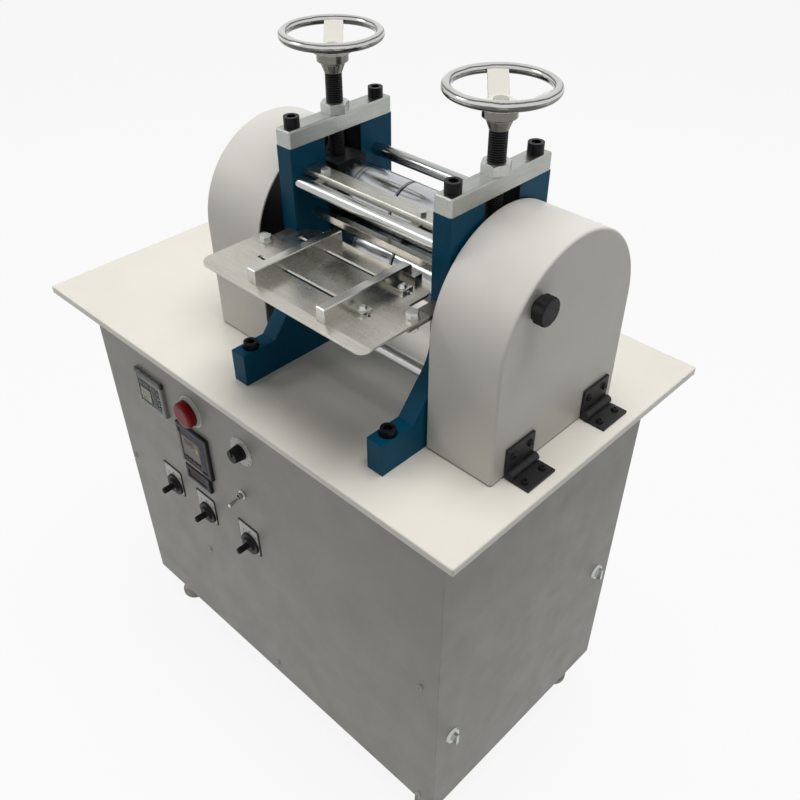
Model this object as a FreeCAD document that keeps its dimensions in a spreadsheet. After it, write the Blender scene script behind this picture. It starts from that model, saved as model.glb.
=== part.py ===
import FreeCAD, Part
import math
import os
import re
import Sketcher
from FreeCAD import Placement, Rotation, Vector

# Belt embossing mill: two driven rolls in a pair of cast side frames, standing on the table of a
# sheet-metal cabinet that holds the gear motor. Origin: on the floor under the middle of the table.
# +X runs along the rolls, -Y is the operator's side, +Z is up. Millimetres and degrees.

DOC = FreeCAD.newDocument("belt_embosser")
SHEET = DOC.addObject("Spreadsheet::Sheet", "dims")
ALIASES = []
SUBPARTS = []
SIDES = (-1, 1)
TURNS = {
    "x": Rotation(Vector(0, 1, 0), 90),
    "y": Rotation(Vector(1, 0, 0), -90),
    "z": Rotation(),
}


# ---------------------------------------------------------------- spreadsheet and small helpers

def sizes(**values):
    """Write named driving dimensions into the spreadsheet."""
    for name, number in values.items():
        ALIASES.append(name)
        row = len(ALIASES)
        SHEET.set("A%d" % row, name)
        SHEET.set("B%d" % row, "%g" % number)
        SHEET.setAlias("B%d" % row, name)
    SHEET.recompute()


def size_of(name):
    """A driving dimension as a number, for shapes and edge picks made in code."""
    return float(SHEET.get(name))


def bind(item, prop, formula):
    """Tie a property to a formula whose words are names in the spreadsheet."""
    linked = re.sub(r"[a-z_]+", lambda word: "dims." + word.group() if word.group() in ALIASES
                    else word.group(), formula)
    item.setExpression(prop, linked)


def place(item, x="0", y="0", z="0"):
    bind(item, "Placement.Base.x", x)
    bind(item, "Placement.Base.y", y)
    bind(item, "Placement.Base.z", z)
    return item


def subpart(item, z="0"):
    """Keep an object as a sub-part; z lifts what is modelled from the table top."""
    item.Label = item.Name
    bind(item, "Placement.Base.z", z)
    SUBPARTS.append(item)
    return item


def box(name, corner, extent):
    item = DOC.addObject("Part::Box", name)
    bind(item, "Length", extent[0])
    bind(item, "Width", extent[1])
    bind(item, "Height", extent[2])
    return place(item, *corner)


def cylinder(name, start, direction, radius, length):
    item = DOC.addObject("Part::Cylinder", name)
    bind(item, "Radius", radius)
    bind(item, "Height", length)
    item.Placement = Placement(Vector(), TURNS[direction])
    return place(item, *start)


def cone(name, start, direction, radius_near, radius_far, length):
    item = DOC.addObject("Part::Cone", name)
    bind(item, "Radius1", radius_near)
    bind(item, "Radius2", radius_far)
    bind(item, "Height", length)
    item.Placement = Placement(Vector(), TURNS[direction])
    return place(item, *start)


def hexagon(name, start, direction, across_flats, length):
    item = DOC.addObject("Part::Prism", name)
    item.Polygon = 6
    bind(item, "Circumradius", "(%s)/sqrt(3)" % across_flats)
    bind(item, "Height", length)
    item.Placement = Placement(Vector(), TURNS[direction])
    return place(item, *start)


def join(name, *items):
    fused = DOC.addObject("Part::MultiFuse", name)
    fused.Shapes = list(items)
    return fused


def cut(name, base, *tools):
    result = DOC.addObject("Part::Cut", name)
    result.Base = base
    result.Tool = tools[0] if len(tools) == 1 else join(name + "_tools", *tools)
    return result


def common(name, first, second):
    result = DOC.addObject("Part::Common", name)
    result.Base = first
    result.Tool = second
    return result


def nut(name, start, direction, across_flats, thick, bore):
    """Hexagon nut with its bearing face at the start and chamfered corners at the far end."""
    blank = hexagon(name + "_hexagon", start, direction, across_flats, thick)
    crown = cone(name + "_crown", start, direction, "(%s)/2 + 2*(%s)" % (across_flats, thick),
                 "(%s)*nut_crown" % across_flats, thick)
    hole = cylinder(name + "_hole", start, direction, bore, thick)
    return cut(name, common(name + "_crowned", blank, crown), hole)


def group(name, items):
    """Like pieces that share one node as separate solids."""
    kept = DOC.addObject("Part::Compound", name)
    kept.Links = list(items)
    return kept


def rounded(name, base, radius, test):
    """Part::Fillet on the edges that pass a test."""
    DOC.recompute()
    result = DOC.addObject("Part::Fillet", name)
    result.Base = base
    picked = [index + 1 for index, edge in enumerate(base.Shape.Edges) if test(edge)]
    result.Edges = [(index, radius, radius) for index in picked]
    return result


def body(name, x="0", y="0", z="0"):
    item = DOC.addObject("PartDesign::Body", name)
    return place(item, x, y, z)


def sketch(owner, plane, offset=None):
    item = owner.newObject("Sketcher::SketchObject", owner.Name + "_sketch")
    role = plane.upper() + "_Plane"
    item.AttachmentSupport = ([f for f in owner.Origin.OriginFeatures if f.Role == role][0], [""])
    item.MapMode = "FlatFace"
    if offset:
        bind(item, "AttachmentOffset.Base.z", offset)
    return item


def pin_point(item, geometry, which, start, spot):
    """Hold one sketch point at a place given by two formulas."""
    for kind, near, formula in (("DistanceX", start.x, spot[0]), ("DistanceY", start.y, spot[1])):
        index = item.addConstraint(Sketcher.Constraint(kind, -1, 1, geometry, which, near))
        bind(item, "Constraints[%d]" % index, formula)


def outline(owner, plane, corners, offset=None):
    """A closed sketch of straight edges; each corner is a pair of formulas."""
    item = sketch(owner, plane, offset)
    count = len(corners)
    steps = [2 * math.pi * index / count for index in range(count)]
    starts = [Vector(100 * math.cos(step), 100 * math.sin(step), 0) for step in steps]
    for index in range(count):
        item.addGeometry(Part.LineSegment(starts[index], starts[(index + 1) % count]), False)
    for index in range(count):
        item.addConstraint(Sketcher.Constraint("Coincident", index, 2, (index + 1) % count, 1))
    for index, corner in enumerate(corners):
        pin_point(item, index, 1, starts[index], corner)
    return item


def circles(owner, plane, rings, offset=None):
    """A sketch of circles; each is two formulas for the centre and one for the radius."""
    item = sketch(owner, plane, offset)
    for index, ring in enumerate(rings):
        start = Vector(50 * index + 10, 10, 0)
        item.addGeometry(Part.Circle(start, Vector(0, 0, 1), 5), False)
        pin_point(item, index, 3, start, ring[:2])
        radius = item.addConstraint(Sketcher.Constraint("Radius", index, 5))
        bind(item, "Constraints[%d]" % radius, ring[2])
    return item


def rectangle(left, right, low, high):
    return [(left, low), (right, low), (right, high), (left, high)]


def pad(owner, profile, length, reverse=False):
    item = owner.newObject("PartDesign::Pad", owner.Name + "_pad")
    item.Profile = profile
    bind(item, "Length", length)
    item.Reversed = reverse
    return item


def pocket(owner, profile, reverse=True):
    """Cut right through; sketches lie on the near side of the material, so it runs forward."""
    item = owner.newObject("PartDesign::Pocket", owner.Name + "_pocket")
    item.Profile = profile
    item.Type = "ThroughAll"
    item.Reversed = reverse
    return item


def revolve(owner, profile, axis="V_Axis"):
    item = owner.newObject("PartDesign::Revolution", owner.Name + "_turned")
    item.Profile = profile
    item.ReferenceAxis = (profile, [axis])
    item.Angle = 360
    return item


def dress(owner, kind, base, radius, test):
    """A PartDesign fillet or chamfer on the edges that pass a test."""
    DOC.recompute()
    item = owner.newObject("PartDesign::" + kind, owner.Name + "_" + kind.lower())
    picked = ["Edge%d" % (index + 1) for index, edge in enumerate(base.Shape.Edges) if test(edge)]
    item.Base = (base, picked)
    bind(item, "Radius" if kind == "Fillet" else "Size", radius)
    return item


def upright(edge):
    """True for a straight edge along Z."""
    spread = edge.BoundBox
    return spread.ZLength > 1 and spread.XLength < 0.01 and spread.YLength < 0.01


def edge_at(edge, **where):
    """True where an edge lies wholly at the given coordinates, as in y=-92, z=106."""
    spread = edge.BoundBox
    for axis, number in where.items():
        low = getattr(spread, axis.upper() + "Min")
        high = getattr(spread, axis.upper() + "Max")
        if abs(low - number) > 0.01 or abs(high - number) > 0.01:
            return False
    return True


# ---------------------------------------------------------------- main layout, shared by the parts

sizes(table_wide=800, table_deep=486, table_thick=10, table_high=700)
sizes(cabinet_wide=715, cabinet_deep=409, cabinet_low=75, sheet_thick=2)
sizes(mill_x=116, frame_gap=220, frame_thick=24, frame_deep=164, frame_high=281)
sizes(roll_y=-10, roll_radius=33, axis_low=147, axis_high=216)
sizes(slot_wide=58, slot_floor=117, journal_radius=15, bearing_clearance=0.05)
sizes(bolt_radius=6, bolt_hole_radius=6.6, foot_bolt_reach=162, nut_crown=0.48)
sizes(chain_x=291, chain_pitch=12.7, sprocket_teeth=48, pinion_teeth=16, pinion_z=-260)
FRAME_EDGES = {-1: "mill_x - frame_gap/2 - frame_thick", 1: "mill_x + frame_gap/2"}
FRAME_NAMES = {-1: "left", 1: "right"}
SPINDLES = {-1: "mill_x - frame_gap/2 - frame_thick/2", 1: "mill_x + frame_gap/2 + frame_thick/2"}


# ---------------------------------------------------------------- table and cabinet

sizes(table_corner=3, table_edge=2, chain_slot_wide=28, chain_slot_deep=40, chain_slot_reach=74)


def table_top():
    """Painted steel plate with eased edges, bolt holes and two slots for the chain."""
    top = body("table_top", z="table_high - table_thick")
    plate = pad(top, outline(top, "xy", rectangle("-table_wide/2", "table_wide/2",
                                                  "-table_deep/2", "table_deep/2")), "table_thick")
    corners = dress(top, "Fillet", plate, "table_corner", upright)
    thick = size_of("table_thick")
    dress(top, "Fillet", corners, "table_edge", lambda edge: edge_at(edge, z=thick))
    for side in SIDES:
        middle = "roll_y + %d*chain_slot_reach" % side
        pocket(top, outline(top, "xy", rectangle(
            "chain_x - chain_slot_wide/2", "chain_x + chain_slot_wide/2",
            middle + " - chain_slot_deep/2", middle + " + chain_slot_deep/2")))
    pocket(top, circles(top, "xy", [
        (SPINDLES[frame], "roll_y + %d*foot_bolt_reach" % end, "bolt_hole_radius")
        for frame in SIDES for end in SIDES]))
    subpart(top, "table_high - table_thick")


sizes(return_wide=18)


def sheet_panel(name, front):
    """Front or back sheet with its two side edges folded back into the cabinet."""
    outer = "cabinet_deep/2"
    sheet_y = "-" + outer if front else outer + " - sheet_thick"
    fold_y = "-" + outer if front else outer + " - return_wide"
    wall = "table_high - table_thick - cabinet_low"
    sheet = box(name + "_sheet", ("-cabinet_wide/2", sheet_y, "cabinet_low"),
                ("cabinet_wide", "sheet_thick", wall))
    folds = [box(name + "_fold", ("%d*(cabinet_wide/2 - 1.5*sheet_thick) - sheet_thick/2" % side,
                                  fold_y, "cabinet_low"), ("sheet_thick", "return_wide", wall))
             for side in SIDES]
    return join(name if not front else name + "_blank", sheet, *folds)


sizes(counter_x=-233, counter_z=568.5, counter_wide=70, counter_tall=63)
sizes(display_x=-137.5, display_z=509.5, display_wide=75, display_tall=79)
sizes(meter_x=-140, meter_z=452.5, meter_wide=60, meter_tall=29)
sizes(stop_x=-131, stop_z=587, speed_x=-16, speed_z=581, toggle_x=-28, toggle_z=491)
sizes(selector_a_x=-224, selector_b_x=-136, selector_c_x=-27)
sizes(selector_a_z=382, selector_b_z=378, selector_c_z=388)
sizes(panel_hole_radius=11, small_hole_radius=5, window_margin=4)
SELECTORS = ("a", "b", "c")


def front_panel():
    """Front sheet with windows for the instruments and holes for the switches."""
    blank = sheet_panel("front_panel", True)
    holes = []
    for unit in ("counter", "display", "meter"):
        wide = "%s_wide - 2*window_margin" % unit
        tall = "%s_tall - 2*window_margin" % unit
        holes.append(box(unit + "_window", ("%s_x - (%s)/2" % (unit, wide), "-cabinet_deep/2 - 1",
                                            "%s_z - (%s)/2" % (unit, tall)),
                         (wide, "sheet_thick + 2", tall)))
    for spot, radius in [("stop", "panel_hole_radius"), ("speed", "small_hole_radius"),
                         ("toggle", "small_hole_radius")] + [
                             ("selector_" + letter, "panel_hole_radius") for letter in SELECTORS]:
        holes.append(cylinder(spot + "_hole", (spot + "_x", "-cabinet_deep/2 - 1", spot + "_z"),
                              "y", radius, "sheet_thick + 2"))
    subpart(cut("front_panel", blank, *holes))


sizes(gland_x=-250, gland_z=160, gland_radius=9, gland_bore=4)


def back_panel():
    """Back sheet with the hole of the supply cable's gland."""
    blank = sheet_panel("back_blank", False)
    hole = cylinder("gland_hole", ("gland_x", "cabinet_deep/2 - sheet_thick - 1", "gland_z"), "y",
                    "gland_radius", "sheet_thick + 2")
    subpart(cut("back_panel", blank, hole))


sizes(latch_radius=8, latch_front_z=250, latch_back_z=318, latch_reach=170)


def side_panels():
    """Plain left sheet, and the right one that two quarter-turn latches hold."""
    deep = "cabinet_deep - 2*sheet_thick"
    extent = ("sheet_thick", deep, "table_high - table_thick - cabinet_low")
    low_y = "-cabinet_deep/2 + sheet_thick"
    left = box("left_panel", ("-cabinet_wide/2", low_y, "0"), extent)
    subpart(left, "cabinet_low")
    right = box("right_sheet", ("cabinet_wide/2 - sheet_thick", low_y, "cabinet_low"), extent)
    holes = [cylinder("latch_hole", ("cabinet_wide/2 - sheet_thick - 1", y, z), "x",
                      "latch_radius", "sheet_thick + 2")
             for y, z in (("-latch_reach", "latch_front_z"), ("latch_reach", "latch_back_z"))]
    subpart(cut("right_panel", right, *holes))


sizes(post_wide=25, post_thick=3, pan_thick=3, stud_x=318, stud_y=168, stud_radius=6)


def cabinet_frame():
    """Floor pan between the sheets and four angle-iron corner posts standing on it."""
    half_x = "(cabinet_wide/2 - 2*sheet_thick)"
    half_y = "(cabinet_deep/2 - sheet_thick)"
    pan = box("floor_pan_plate", ("-" + half_x, "-" + half_y, "cabinet_low"),
              ("2*" + half_x, "2*" + half_y, "pan_thick"))
    holes = [cylinder("stud_hole", ("%d*stud_x" % i, "%d*stud_y" % j, "cabinet_low - 1"), "z",
                      "stud_radius + 0.3", "pan_thick + 2") for i in SIDES for j in SIDES]
    subpart(cut("floor_pan", pan, *holes))
    posts = []
    for i in SIDES:
        for j in SIDES:
            post = body("post_%d" % len(posts), z="cabinet_low + pan_thick")
            corner = [(half_x, half_y), (half_x + " - post_wide", half_y),
                      (half_x + " - post_wide", half_y + " - post_thick"),
                      (half_x + " - post_thick", half_y + " - post_thick"),
                      (half_x + " - post_thick", half_y + " - post_wide"),
                      (half_x, half_y + " - post_wide")]
            placed = [("%d*(%s)" % (i, u), "%d*(%s)" % (j, v)) for u, v in corner]
            pad(post, outline(post, "xy", placed),
                "table_high - table_thick - cabinet_low - pan_thick")
            posts.append(post)
    subpart(group("corner_posts", posts))


sizes(foot_base=23, foot_rim=9, foot_neck=13.5, foot_tall=44, foot_socket=22, stud_top=98)
sizes(stud_nut_flats=19, stud_nut_thick=9)


def levelling_feet():
    """Four nylon bell feet, each with a steel stud, a lock nut below the pan and one above it."""
    feet = []
    metal = []
    for i in SIDES:
        for j in SIDES:
            foot = body("foot_%d" % len(feet), "%d*stud_x" % i, "%d*stud_y" % j)
            revolve(foot, outline(foot, "xz", [
                ("0", "0"), ("foot_base - 1", "0"), ("foot_base", "2"), ("foot_base", "foot_rim"),
                ("foot_base - 4", "foot_rim + 4"), ("foot_neck", "foot_tall"),
                ("stud_radius", "foot_tall"), ("stud_radius", "foot_socket"),
                ("0", "foot_socket")]))
            feet.append(foot)
            spot = ("%d*stud_x" % i, "%d*stud_y" % j)
            metal.append(cylinder("foot_stud", spot + ("foot_socket",), "z", "stud_radius",
                                  "stud_top - foot_socket"))
            for z in ("cabinet_low - stud_nut_thick", "cabinet_low + pan_thick"):
                metal.append(nut("foot_nut", spot + (z,), "z", "stud_nut_flats", "stud_nut_thick",
                                 "stud_radius"))
    subpart(group("levelling_feet", feet))
    subpart(group("foot_studs", metal))


sizes(latch_disc=13, latch_proud=4, latch_wing=5, latch_wing_tall=21, latch_lift=11)
sizes(latch_stem=6, latch_cam_thick=6, latch_cam_long=30, latch_cam_tall=12, latch_cam_rear=9)


def side_latch(name, y, z, side):
    """Quarter-turn latch: finger wing outside, stem, and a cam hooked behind the corner post."""
    wall = "cabinet_wide/2"
    cam_x = wall + " - 2*sheet_thick - post_thick - latch_cam_thick"
    cam_y = y + (" - latch_cam_rear" if side > 0 else " - latch_cam_long + latch_cam_rear")
    disc = cone(name + "_disc", (wall, y, z), "x", "latch_disc", "latch_disc - 1.5", "latch_proud")
    wing = box(name + "_wing", (wall, y + " - latch_wing/2", z + " - latch_wing_tall/2"),
               ("latch_lift", "latch_wing", "latch_wing_tall"))
    bush = cylinder(name + "_bush", (wall + " - sheet_thick", y, z), "x", "latch_radius - 0.1",
                    "sheet_thick")
    stem = cylinder(name + "_stem", (cam_x, y, z), "x", "latch_stem",
                    "2*sheet_thick + post_thick + latch_cam_thick")
    cam = box(name + "_cam", (cam_x, cam_y, z + " - latch_cam_tall/2"),
              ("latch_cam_thick - 0.4", "latch_cam_long", "latch_cam_tall"))
    subpart(join(name, disc, wing, bush, stem, cam))


# ---------------------------------------------------------------- side frames and what joins them

sizes(foot_reach=184, foot_high=45, foot_flat=51, haunch_high=106, haunch_round=60)
sizes(head_radius=9.25, head_high=12, key_flats=10, spot_face_radius=11, spot_face_deep=4)
sizes(rod_radius=8, rod_screw_radius=4, rod_head_radius=7, rod_head_deep=8)
sizes(rod_front_y=-82, rod_front_z=240, rod_rear_y=45, rod_rear_z=243, rod_low_reach=88,
      rod_low_z=83)
RODS = (("rod_front_y", "rod_front_z"), ("rod_rear_y", "rod_rear_z"),
        ("roll_y - rod_low_reach", "rod_low_z"), ("roll_y + rod_low_reach", "rod_low_z"))


def side_frame(side):
    """Cast frame: splayed feet, hollow haunches and a window open at the top for the blocks."""
    name = FRAME_NAMES[side] + "_side_frame"
    frame = body(name, FRAME_EDGES[side], "roll_y", "table_high")
    half = "frame_deep/2"
    profile = [("-foot_reach", "0"), ("foot_reach", "0"), ("foot_reach", "foot_high"),
               ("foot_reach - foot_flat", "foot_high"), (half, "haunch_high"),
               (half, "frame_high"), ("slot_wide/2", "frame_high"), ("slot_wide/2", "slot_floor"),
               ("-slot_wide/2", "slot_floor"), ("-slot_wide/2", "frame_high"),
               ("-" + half, "frame_high"), ("-" + half, "haunch_high"),
               ("foot_flat - foot_reach", "foot_high"), ("-foot_reach", "foot_high")]
    plate = pad(frame, outline(frame, "yz", profile), "frame_thick")
    haunch = size_of("haunch_high")
    dress(frame, "Fillet", plate, "haunch_round",
          lambda edge: edge_at(edge, z=haunch) and edge.BoundBox.XLength > 1)
    pocket(frame, circles(frame, "yz", [("%s - roll_y" % y, z, "rod_screw_radius")
                                        for y, z in RODS]))
    seat = "rod_head_deep" if side < 0 else "frame_thick - rod_head_deep"
    pocket(frame, circles(frame, "yz", [("%s - roll_y" % y, z, "rod_head_radius + 0.5")
                                        for y, z in RODS], seat), side > 0)
    ends = [("frame_thick/2", "%d*foot_bolt_reach" % end) for end in SIDES]
    pocket(frame, circles(frame, "xy", [spot + ("bolt_hole_radius",) for spot in ends]))
    pocket(frame, circles(frame, "xy", [spot + ("spot_face_radius",) for spot in ends],
                          "foot_high - spot_face_deep"))
    subpart(frame, "table_high")


def socket_screw(name, start, shank_long):
    """Socket-head cap screw: start is the seat under the head, the shank runs down."""
    x, y, z = start
    head = cylinder(name + "_head", start, "z", "head_radius", "head_high")
    shank = cylinder(name + "_shank", (x, y, z + " - (%s)" % shank_long), "z", "bolt_radius",
                     shank_long)
    key = hexagon(name + "_key", (x, y, z + " + head_high/2"), "z", "key_flats", "head_high/2")
    return cut(name, join(name + "_blank", head, shank), key)


sizes(bar_high=20, bar_chamfer=1.5, bar_screw_reach=67)
sizes(spindle_radius=9.95, spindle_nut_flats=30, spindle_nut_thick=12)
sizes(foot_nut_flats=18, foot_nut_thick=10, thread_end=3)


def crossbars():
    """Ground steel bars that close the frame windows and carry the pressure screws."""
    bars = []
    nuts = []
    for side in SIDES:
        bar = body(FRAME_NAMES[side] + "_bar", FRAME_EDGES[side], "roll_y", "frame_high")
        blank = pad(bar, outline(bar, "xy", rectangle("0", "frame_thick", "-frame_deep/2",
                                                      "frame_deep/2")), "bar_high")
        dress(bar, "Chamfer", blank, "bar_chamfer",
              lambda edge: edge_at(edge, z=size_of("bar_high")) or upright(edge))
        spots = [("frame_thick/2", "0", "spindle_radius + bearing_clearance")]
        spots += [("frame_thick/2", "%d*bar_screw_reach" % end, "bolt_radius") for end in SIDES]
        pocket(bar, circles(bar, "xy", spots))
        bars.append(bar)
        nuts.append(nut("spindle_nut", (SPINDLES[side], "roll_y", "frame_high + bar_high"), "z",
                        "spindle_nut_flats", "spindle_nut_thick",
                        "spindle_radius + bearing_clearance"))
    subpart(group("crossbars", bars), "table_high")
    subpart(group("spindle_nuts", nuts), "table_high")


def cap_screws():
    """Black cap screws: two through each crossbar and one, with its nut, through each foot."""
    screws = []
    for side in SIDES:
        for end in SIDES:
            screws.append(socket_screw("bar_screw", (
                SPINDLES[side], "roll_y + %d*bar_screw_reach" % end,
                "frame_high + bar_high"), "bar_high"))
            spot = (SPINDLES[side], "roll_y + %d*foot_bolt_reach" % end)
            seat = "foot_high - spot_face_deep"
            screws.append(socket_screw("foot_screw", spot + (seat,),
                                       seat + " + table_thick + foot_nut_thick + thread_end"))
            screws.append(nut("foot_screw_nut", spot + ("-table_thick - foot_nut_thick",), "z",
                              "foot_nut_flats", "foot_nut_thick", "bolt_radius"))
    subpart(group("cap_screws", screws), "table_high")


def tie_rods():
    """Four turned rods that space the frames, each with a screw into both ends."""
    rods = []
    screws = []
    depth = "frame_thick"
    for y, z in RODS:
        rod = cylinder("rod_bar", ("mill_x - frame_gap/2", y, z), "x", "rod_radius", "frame_gap")
        bores = [cylinder("rod_bore", (x, y, z), "x", "rod_screw_radius", depth)
                 for x in ("mill_x - frame_gap/2", "mill_x + frame_gap/2 - " + depth)]
        rods.append(cut("tie_rod", rod, *bores))
        for side in SIDES:
            head_x = FRAME_EDGES[side]
            shank_x = FRAME_EDGES[side] + " - " + depth
            if side < 0:
                shank_x = FRAME_EDGES[side]
            else:
                head_x += " + frame_thick - rod_head_deep"
            screws.append(join(
                "rod_screw",
                cylinder("rod_head", (head_x, y, z), "x", "rod_head_radius", "rod_head_deep"),
                cylinder("rod_shank", (shank_x, y, z), "x", "rod_screw_radius",
                         "frame_thick + " + depth)))
    subpart(group("tie_rods", rods), "table_high")
    subpart(group("tie_rod_screws", screws), "table_high")


# ---------------------------------------------------------------- rolls, bearings and gears

sizes(block_high=60, boss_wide=47, boss_reach=14, boss_rise=4, boss_drop=4, lower_step=2)
sizes(pin_radius=6, pin_deep=8)


def bearing_block(name, side, axis, upper):
    """Sliding block with a stepped boss towards the roll and a bore for the journal."""
    block = body(name, SPINDLES[side], "roll_y", axis)
    half = "(slot_wide/2 - bearing_clearance)"
    core = pad(block, outline(block, "yz", rectangle("-" + half, half, "-block_high/2",
                                                     "block_high/2")), "frame_thick")
    core.Midplane = True
    rise = "block_high/2 + boss_rise" if upper else "block_high/2 - lower_step"
    boss = outline(block, "yz", rectangle("-boss_wide/2", "boss_wide/2",
                                          "boss_drop - block_high/2", rise))
    pad(block, boss, "frame_thick/2 + boss_reach", side > 0)
    pocket(block, circles(block, "yz", [("0", "0", "journal_radius + bearing_clearance")],
                          "-frame_thick - boss_reach"))
    if upper:
        pocket(block, circles(block, "xy", [("0", "0", "pin_radius + bearing_clearance")],
                              "block_high/2 + boss_rise - pin_deep - 0.5"))
    return block


def bearing_blocks():
    """Lower pair, seated on the floor of each window, and the upper pair that slides."""
    subpart(group("lower_bearing_blocks",
                  [bearing_block("lower_block_%s" % FRAME_NAMES[s], s, "axis_low", False)
                   for s in SIDES]), "table_high")
    subpart(group("upper_bearing_blocks",
                  [bearing_block("upper_block_%s" % FRAME_NAMES[s], s, "axis_high", True)
                   for s in SIDES]), "table_high")


sizes(face_half=86, shoulder_radius=26.5, shoulder_half=95.5, seat_radius=12)
sizes(gear_near=159, gear_wide=30, shaft_left=194, shaft_right_low=184, shaft_right_high=134)
sizes(seat_right=146, ring_half=3.5, ring_deep=1.5)


def roll(name, axis, right_end, driven):
    """Turned roll about X: face with a narrow ring groove, shoulders, journals, gear seat."""
    turned = body(name, "mill_x", "roll_y", axis)
    left = [("-shaft_left", "0"), ("-shaft_left", "seat_radius"), ("-gear_near", "seat_radius"),
            ("-gear_near", "journal_radius"), ("-shoulder_half", "journal_radius"),
            ("-shoulder_half", "shoulder_radius"), ("-face_half", "shoulder_radius"),
            ("-face_half", "roll_radius")]
    ring = [("-ring_half", "roll_radius"), ("-ring_half", "roll_radius - ring_deep"),
            ("0", "roll_radius - ring_deep"), ("0", "roll_radius")]
    right = [("face_half", "roll_radius"), ("face_half", "shoulder_radius"),
             ("shoulder_half", "shoulder_radius"), ("shoulder_half", "journal_radius")]
    if driven:
        right += [("seat_right", "journal_radius"), ("seat_right", "seat_radius"),
                  (right_end, "seat_radius"), (right_end, "0")]
    else:
        right += [(right_end, "journal_radius"), (right_end, "0")]
    revolve(turned, outline(turned, "xz", left + ring + right), "H_Axis")
    subpart(turned, "table_high + " + axis)


sizes(tooth_count=22, gear_module=3, gear_addendum=3.75, gear_root=28.5, tooth_thinning=0.15)
sizes(pressure_angle=20, gear_hub_radius=20, gear_hub_long=4)


def involute(base, radius):
    """Roll angle of an involute at a radius, in radians."""
    if radius <= base:
        return 0.0
    grip = math.acos(base / radius)
    return math.tan(grip) - grip


def gear_outline(first_tooth):
    """Closed wire of an involute gear in the YZ plane, one tooth centred at first_tooth."""
    count = int(size_of("tooth_count"))
    pitch = size_of("gear_module") * count / 2
    base = pitch * math.cos(math.radians(size_of("pressure_angle")))
    tip = pitch + size_of("gear_addendum")
    root = size_of("gear_root")
    half = math.pi / (2 * count) - size_of("tooth_thinning") / pitch + involute(base, pitch)
    radii = [base + (tip - base) * step / 4 for step in range(5)]

    def spot(radius, angle):
        return Vector(0, radius * math.cos(angle), radius * math.sin(angle))

    edges = []
    for index in range(count):
        centre = first_tooth + 2 * math.pi * index / count
        rising = [spot(r, centre - half + involute(base, r)) for r in radii]
        falling = [spot(r, centre + half - involute(base, r)) for r in reversed(radii)]
        for flank in (rising, falling):
            curve = Part.BSplineCurve()
            curve.interpolate(flank)
            edges.append(curve.toShape())
        edges.append(Part.Arc(rising[-1], spot(tip, centre), falling[0]).toShape())
        foot_in = spot(root, centre - half)
        foot_out = spot(root, centre + half)
        edges.append(Part.makeLine(foot_in, rising[0]))
        edges.append(Part.makeLine(falling[-1], foot_out))
        gap_middle = centre + math.pi / count
        next_foot = spot(root, centre + 2 * math.pi / count - half)
        edges.append(Part.Arc(foot_out, spot(root, gap_middle), next_foot).toShape())
    return Part.Wire(Part.__sortEdges__(edges))


def gear(name, axis, first_tooth):
    """Long-addendum spur gear, so the pair stays in mesh while the upper roll lifts."""
    wide = size_of("gear_wide")
    blank = Part.Face(gear_outline(first_tooth)).extrude(Vector(wide, 0, 0))
    hub_start = Vector(wide, 0, 0)
    along = Vector(1, 0, 0)
    hub = Part.makeCylinder(size_of("gear_hub_radius"), size_of("gear_hub_long"), hub_start, along)
    bore = Part.makeCylinder(size_of("seat_radius"), wide + size_of("gear_hub_long") + 2,
                             Vector(-1, 0, 0), along)
    item = DOC.addObject("Part::Feature", name)
    item.Shape = blank.fuse(hub).cut(bore)
    place(item, "mill_x - gear_near - gear_wide - gear_hub_long", "roll_y")
    subpart(item, "table_high + " + axis)


def gears():
    """Lower gear with a tooth at the top, upper gear with a gap at the bottom."""
    gear("lower_gear", "axis_low", math.pi / 2)
    gear("upper_gear", "axis_high", -math.pi / 2 + math.pi / size_of("tooth_count"))


# ---------------------------------------------------------------- pressure screws and handwheels

sizes(screw_shoulder=346, screw_top=376, stem_radius=8)
sizes(wheel_radius=54.75, rim_tube=5.25, rim_z=387.5, collar_z=358, collar_top=372)
sizes(collar_radius=18.5, hub_low_radius=10.5, hub_mid_radius=14.5, spoke_wide=22, spoke_thick=4)
sizes(spoke_turn=14, spoke_root=11, spoke_heel=21, spoke_toe=45.75)


def pressure_screw(side):
    """Screw spindle: pin in the block, thread through the bar and nut, stem for the wheel."""
    name = FRAME_NAMES[side] + "_pressure_screw"
    spindle = body(name, SPINDLES[side], "roll_y")
    seat = "axis_high + block_high/2 + boss_rise"
    revolve(spindle, outline(spindle, "xz", [
        ("0", seat + " - pin_deep"), ("pin_radius", seat + " - pin_deep"), ("pin_radius", seat),
        ("spindle_radius - 1", seat), ("spindle_radius", seat + " + 1"),
        ("spindle_radius", "screw_shoulder"), ("stem_radius", "screw_shoulder"),
        ("stem_radius", "screw_top"), ("0", "screw_top")]))
    subpart(spindle, "table_high")


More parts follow.
